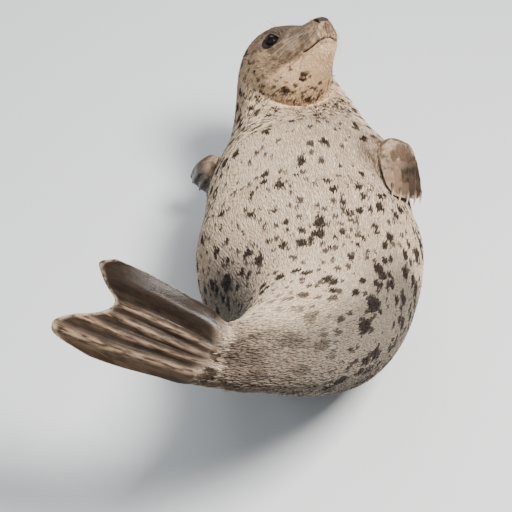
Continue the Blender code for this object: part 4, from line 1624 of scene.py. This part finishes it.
def coat_tree(tuft, material):
    """Tufts over a surface: sizes come in by name, roots follow the skin, tips follow its lie."""
    tree = bpy.data.node_groups.new("coat_tufts", "GeometryNodeTree")
    face = tree.interface
    face.new_socket(name="Skin", in_out="INPUT", socket_type="NodeSocketGeometry")
    for label, value in (
        ("Tufts per square metre", TUFTS_PER_M2),
        ("Length", TUFT_LENGTH),
        ("Width", TUFT_WIDTH),
        ("Thickness", TUFT_THICK),
        ("Rise", math.radians(TUFT_RISE)),
        ("Patch", TUFT_PATCH),
    ):
        face.new_socket(name=label, in_out="INPUT", socket_type="NodeSocketFloat").default_value = value
    for label in ("Seed", "Region"):
        face.new_socket(name=label, in_out="INPUT", socket_type="NodeSocketInt").default_value = 0
    face.new_socket(name="Coat", in_out="OUTPUT", socket_type="NodeSocketGeometry")
    m = Maker(tree)
    given = m.node("NodeGroupInput").outputs
    vary = m.node("FunctionNodeRandomValue", data_type="FLOAT")
    vary.inputs[2].default_value = TUFT_VARIES[0]
    vary.inputs[3].default_value = TUFT_VARIES[1]
    m.link(given["Seed"], vary.inputs["Seed"])
    scatter = tuft_roots(m, given)
    lock = m.node("GeometryNodeObjectInfo")
    lock.inputs["Object"].default_value = tuft
    place = m.node("GeometryNodeInstanceOnPoints")
    m.link(scatter.outputs["Points"], place.inputs["Points"])
    m.link(lock.outputs["Geometry"], place.inputs["Instance"])
    m.link(tuft_turn(m, given, scatter.outputs["Normal"], vary.outputs[1]), place.inputs["Rotation"])
    m.link(tuft_size(m, given, vary.outputs[1]), place.inputs["Scale"])
    real = m.node("GeometryNodeRealizeInstances")
    m.link(place.outputs[0], real.inputs[0])
    # each tuft has its own small patch of the unwrap, at its root's place
    patch = m.vector("SCALE", m.named("tuft_uv", "FLOAT_VECTOR"), None, given["Patch"])
    keep = m.node("GeometryNodeStoreNamedAttribute", data_type="FLOAT2", domain="CORNER")
    keep.inputs["Name"].default_value = "OFBake"
    m.link(real.outputs[0], keep.inputs["Geometry"])
    m.link(m.vector("ADD", patch, m.named("unwrap", "FLOAT_VECTOR")), keep.inputs["Value"])
    dress = m.node("GeometryNodeSetMaterial")
    dress.inputs["Material"].default_value = material
    m.link(keep.outputs[0], dress.inputs[0])
    m.link(dress.outputs[0], m.node("NodeGroupOutput").inputs[0])
    return tree


def plan_coat(mesh):
    """Stores each point's region, and how large and how many its tufts are.
    On the muzzle the tufts are dense only at the whiskers' roots and the grooves; elsewhere they
    leave the folds of the face open."""
    straight = read_vectors(mesh, "straight")
    side = mirrored(read_vectors(mesh, "head_place"))
    limb = read(mesh, "limb")
    face = read(mesh, "face")
    bare = read(mesh, "bare")
    on_limb = limb > 0.5
    size = np.where(on_limb, FLIPPER_TUFT[0] - FLIPPER_TUFT[1] * bare, 1.0 - FACE_TUFT * face)
    hairless = np.maximum(read(mesh, "nose"), read(mesh, "lid"))
    many = (1.0 / size) ** 1.5 * (1 - ramp(hairless, 0.02, 0.3))
    many *= np.where(on_limb, 1 - ramp(bare, 0.35, 0.95), 1)
    many *= ramp(read(mesh, "mouth_far"), 0.0012, 0.003)
    ahead = (1 - ramp(side[:, 0], 0.056, 0.072)) * (straight[:, 1] < 0.12)
    muzzle = ahead * ramp(side[:, 2], -0.040, -0.034)
    seam = np.clip(read(mesh, "seam") * (face > 0.5) * 1.8, 0, 1)
    many *= 1 - np.where(muzzle > 0.5, MUZZLE_THIN * (1 - seam), seam)
    store(mesh, "tuft_size", size)
    store(mesh, "tuft_many", many)
    region = np.digitize(straight[:, 1], COAT_CUTS)
    region[on_limb] = len(COAT_PIECES) - 1
    mesh.attributes.new("region", "INT", "POINT").data.foreach_set("value", region.astype(np.int32))


def drop_spare_facts(mesh):
    """Leaves only what the coat's finish reads."""
    for name in [layer.name for layer in mesh.attributes]:
        layer = mesh.attributes.get(name)
        wanted = name in KEPT_BY_TUFTS or name in KEPT_BY_MESH or name.startswith(".")
        if layer is not None and not wanted and not layer.is_required:
            mesh.attributes.remove(layer)


def press_on_floor(mesh):
    """Tufts that reach the floor are pressed flat just above it."""
    lowest, highest = FLOOR_REACH
    places = places_of(mesh)
    high = places[:, 2]
    pressed = FLOOR_GAP + FLOOR_PRESS * np.clip(high - lowest, 0, highest - lowest)
    places[:, 2] = np.where(high < highest, pressed, high)
    put_places(mesh, places)


def make_coat(skin, material):
    """Tufts grown over the skin, one piece for each region."""
    plan_coat(skin.data)
    tuft = add_object("tuft_pattern", tuft_mesh())
    tree = coat_tree(tuft, material)
    sockets = {s.name: s.identifier for s in tree.interface.items_tree if s.in_out == "INPUT"}
    for number, name in enumerate(COAT_PIECES):
        modifier = skin.modifiers.new("coat", "NODES")
        modifier.node_group = tree
        modifier[sockets["Seed"]] = COAT_SEED + number
        modifier[sockets["Region"]] = number
        graph = bpy.context.evaluated_depsgraph_get()
        mesh = bpy.data.meshes.new_from_object(skin.evaluated_get(graph))
        skin.modifiers.remove(modifier)
        drop_spare_facts(mesh)
        press_on_floor(mesh)
        mesh.name = name
        piece = add_object(name, mesh, material)
        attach(piece, "root")
    bpy.data.objects.remove(tuft, do_unlink=True)


# ---- eyes, claws, whiskers --------------------------------------------------------------------
EYE_RINGS = 36
EYE_AROUND = 56


def ball_mesh(name, centre, radius, gaze):
    """A smooth ball whose rings run round the gaze, with each point's degrees from the gaze."""
    g = unit(gaze)
    side = unit(np.cross(g, (0.1, 0.2, 1.0)))
    up = np.cross(g, side)
    turn = (math.pi * (np.arange(EYE_RINGS) + 0.5) / EYE_RINGS)[:, None, None]
    a = turns(EYE_AROUND)[None, :, None]
    grid = np.cos(turn) * g + np.sin(turn) * (np.cos(a) * side + np.sin(a) * up)
    mesh = build_mesh(name, *closed_tube(np.asarray(centre) + radius * grid))
    points = places_of(mesh) - centre
    points /= lengths(points)
    store(mesh, "from_gaze", np.degrees(np.arccos(np.clip(points @ g, -1, 1))))
    return mesh


def world_direction(local):
    """World direction of one given forward, to the left and up in the head's frame."""
    rows = frame_of(*HEAD)
    return local[0] * rows[0] + local[1] * rows[1] - local[2] * rows[2]


def make_eyes(material):
    for side, name in ((1, "left"), (-1, "right")):
        centre = head_place((EYE_PLACE[0], side * EYE_PLACE[1], EYE_PLACE[2]))
        gaze = world_direction((EYE_GAZE[0], side * EYE_GAZE[1], EYE_GAZE[2]))
        eye = add_object("eyeball_" + name, ball_mesh("eyeball_" + name, centre, EYE_RADIUS, gaze), material)
        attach(eye, "root")
        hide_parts("eye_" + name)


# place across, share of the reach, length, base radius, droop
FORE_CLAWS = (
    (-0.80, 0.86, 0.028, 0.0036, 0.006),
    (-0.42, 0.86, 0.033, 0.0040, 0.007),
    (0.00, 0.86, 0.035, 0.0042, 0.008),
    (0.42, 0.86, 0.034, 0.0042, 0.008),
    (0.78, 0.86, 0.031, 0.0040, 0.007),
)
HIND_CLAWS = (
    (-0.66, 0.84, 0.019, 0.0026, 0.003),
    (-0.32, 0.84, 0.018, 0.0026, 0.003),
    (-0.08, 0.84, 0.018, 0.0026, 0.003),
    (0.16, 0.84, 0.018, 0.0026, 0.003),
    (0.62, 0.82, 0.020, 0.0028, 0.003),
)
CLAW_RINGS = 14
CLAW_AROUND = 16
CLAW_TIP = 0.0004  # radius of the rounded tip


def claw_rings(claw, side, spec):
    """Rings of a claw in its flipper's frame, and each ring's share of the length."""
    place, share, length, radius, droop = claw
    top, sole = paddle(spec, [place], [share])
    start = top[0, 0] * 0.62 + sole[0, 0] * 0.38
    u = np.linspace(0, 1, CLAW_RINGS) ** 0.9
    angle = turns(CLAW_AROUND)
    thin = (1 - u) ** 0.62 * (radius - CLAW_TIP) + CLAW_TIP
    middle = start + sheet(length * u, 0.0, 0.25 * length * u - droop * 2.2 * u * u)
    ring = sheet(0.0, 0.8 * np.cos(angle), 1.15 * np.sin(angle))
    grid = middle[:, None, :] + thin[:, None, None] * ring[None]
    grid[..., 1] *= side
    return grid, u


def make_claws(material):
    for name, spec, claws, root, axis, out, side in flippers():
        for number, claw in enumerate(claws):
            grid, shares = claw_rings(claw, side, spec)
            mesh = build_mesh("claw", *closed_tube(placed(grid, root, axis, out)))
            store(mesh, "claw_along", np.concatenate([np.repeat(shares, CLAW_AROUND), [0.0, 1.0]]))
            store(mesh, "claw_place", closed_tube(grid)[0])
            node = f"{name}_claw_{number + 1}"
            piece = add_object("horn_" + node, mesh, material)
            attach(piece, "root")
            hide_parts(node)


HAIR_RINGS = 9
HAIR_AROUND = 5
HAIR_THIN = 0.00018  # radius at the root
HAIR_THICKER = 0.00008  # and how much more the rearmost whiskers have
HAIR_SUNK = 0.002
WHISKER_LENGTH = (0.012, 0.056)  # the foremost, and how much longer the rearmost are
WHISKER_VARIES = (0.6, 1.1)
WHISKER_STRAYS = 0.10
BROW_HAIRS = 4
BROW_PLACE = (0.086, 0.034, 0.052)
BROW_STEP = (0.004, -0.003)  # behind and to the side, from one hair to the next
BROW_LENGTH = 0.028
BROW_VARIES = (0.8, 1.2)
WHISKER_SEED = 5


def hair_tube(start, heading, bend, length, thick):
    """Rings of a tapering hair bent over along its length."""
    u = np.linspace(0, 1, HAIR_RINGS)[:, None]
    line = start + length * (u * heading + u**2 * bend)
    tangent = np.gradient(line, axis=0)
    tangent /= lengths(tangent)
    side = np.cross(tangent, (0.31, 0.52, 0.79))
    side /= lengths(side)
    up = np.cross(tangent, side)
    a = turns(HAIR_AROUND)[None, :, None]
    ring = np.cos(a) * side[:, None] + np.sin(a) * up[:, None]
    return line[:, None] + (thick * (1 - 0.85 * u**1.3))[:, None] * ring


def whisker_roots(mesh):
    """Root, heading, bend, length and radius of each whisker and brow hair."""
    places = places_of(mesh)
    normals = normals_of(mesh)
    tree = point_tree(head_local(places), np.where(read_vectors(mesh, "straight")[:, 1] < 0.2)[0])
    rng = np.random.default_rng(WHISKER_SEED)
    found = []
    for side in (1, -1):
        for row, facts in enumerate(WHISKER_ROWS):
            for share in np.linspace(0, 1, facts[1]):
                back, aside, above = pad_place(facts, share)
                _, i, _ = tree.find((back, side * aside, above))
                n = normals[i]
                length = (WHISKER_LENGTH[0] + WHISKER_LENGTH[1] * share) * rng.uniform(*WHISKER_VARIES)
                swept = unit(world_direction((-0.75 - 0.5 * share, side * 0.55, -0.30 - 0.10 * row)))
                heading = unit(0.55 * n + 0.8 * swept + rng.normal(0, WHISKER_STRAYS, 3))
                bend = 0.35 * world_direction((-0.9, -side * 0.35, -0.25))
                thick = HAIR_THIN + HAIR_THICKER * share
                found.append((places[i] + n * 0.0004, heading, bend, length, thick))
        for number in range(BROW_HAIRS):
            back = BROW_PLACE[0] + BROW_STEP[0] * number
            aside = side * (BROW_PLACE[1] + BROW_STEP[1] * number)
            _, i, _ = tree.find((back, aside, BROW_PLACE[2]))
            heading = unit(0.8 * normals[i] + 0.5 * world_direction((-1.0, side * 0.2, 0.1)))
            bend = 0.3 * world_direction((-1.0, 0, -0.2))
            found.append((places[i], heading, bend, BROW_LENGTH * rng.uniform(*BROW_VARIES), HAIR_THIN))
    return found


def make_whiskers(skin, material):
    """All whiskers and brow hairs in one mesh, with each point's share of its hair's length."""
    points = []
    faces = []
    for start, heading, bend, length, thick in whisker_roots(skin.data):
        hair, hair_faces = closed_tube(hair_tube(start - heading * HAIR_SUNK, heading, bend, length, thick))
        first = len(points) * len(hair)
        points.append(hair)
        faces += [[v + first for v in face] for face in hair_faces]
    mesh = build_mesh("whiskers", np.concatenate(points), faces)
    along = np.concatenate([np.repeat(np.linspace(0, 1, HAIR_RINGS), HAIR_AROUND), [0, 1]])
    store(mesh, "hair_along", np.tile(along, len(points)))
    piece = add_object("whiskers", mesh, material)
    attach(piece, "root")


# ---- the stage --------------------------------------------------------------------------------
FLOOR_HALF = 30.0
AIR_STRENGTH = 0.34
LIT_PLACE = (0, 0, 0.22)
# place, watts, size, colour
LIGHTS = {
    "key_light": ((1.0, -0.75, 2.6), 215.0, 0.8, (1.0, 0.97, 0.93)),
    "fill_light": ((-2.2, -0.6, 1.9), 24.0, 2.2, (0.90, 0.95, 1.0)),
    "rim_light": ((-0.4, 2.4, 2.0), 40.0, 1.6, (1.0, 1.0, 1.0)),
}
CAMERA_PLACE = (-0.094, -1.780, 2.000)
CAMERA_TILT = 44.0  # degrees up from straight down
CAMERA_LENS = 100.5


def make_floor():
    half = FLOOR_HALF
    mesh = bpy.data.meshes.new("studio_floor")
    corners = [(-half, -half, 0), (half, -half, 0), (half, half, 0), (-half, half, 0)]
    mesh.from_pydata(corners, [], [(0, 1, 2, 3)])
    material, shader, _ = new_material("pale_floor", Roughness=0.75)
    shader.inputs["Base Color"].default_value = PAINT["floor"]
    floor = add_object("studio_floor", mesh, material)


def make_air():
    world = bpy.data.worlds.new("studio_air")
    world.use_nodes = True
    background = world.node_tree.nodes["Background"]
    background.inputs["Color"].default_value = PAINT["air"]
    background.inputs["Strength"].default_value = AIR_STRENGTH
    bpy.context.scene.world = world


def make_lights():
    for name, (place, power, wide, colour) in LIGHTS.items():
        light = bpy.data.lights.new(name, "AREA")
        light.energy = power
        light.size = wide
        light.color = colour
        lamp = add_object(name, light)
        lamp.location = place
        lamp.rotation_euler = (Vector(LIT_PLACE) - Vector(place)).to_track_quat("-Z", "Y").to_euler()


def make_camera():
    lens = bpy.data.cameras.new("camera")
    lens.sensor_width = 36.0
    lens.lens = CAMERA_LENS
    camera = add_object("camera", lens)
    camera.location = CAMERA_PLACE
    camera.rotation_euler = (math.radians(CAMERA_TILT), 0.0, 0.0)
    bpy.context.scene.camera = camera


# ---- all of it --------------------------------------------------------------------------------
FLESH = (
    "head",
    "neck",
    "chest",
    "belly",
    "hips",
    "rump",
    "tail",
    "fore_flipper_left",
    "fore_flipper_right",
    "hind_flipper_left",
    "hind_flipper_right",
)


def shape_skin():
    """The skin's mesh, sunk by the coat's depth, with its face and folds."""
    mesh = make_skin_mesh()
    smooth_joins(mesh)
    depth = coat_facts(mesh)
    put_places(mesh, places_of(mesh) - normals_of(mesh) * depth[:, None])
    shape_face(mesh)
    shape_folds(mesh)
    coat_facts(mesh)
    shade_smooth(mesh)
    mesh.name = "skin"
    return mesh


def main():
    markings = markings_group(spot_layer_group())
    skin = add_object("skin", shape_skin(), skin_material(markings))
    make_coat(skin, coat_material(markings))
    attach(skin, "root")
    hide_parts(*FLESH)
    make_eyes(eye_material())
    make_claws(claw_material())
    make_whiskers(skin, whisker_material())
    make_floor()
    make_air()
    make_lights()
    make_camera()


main()
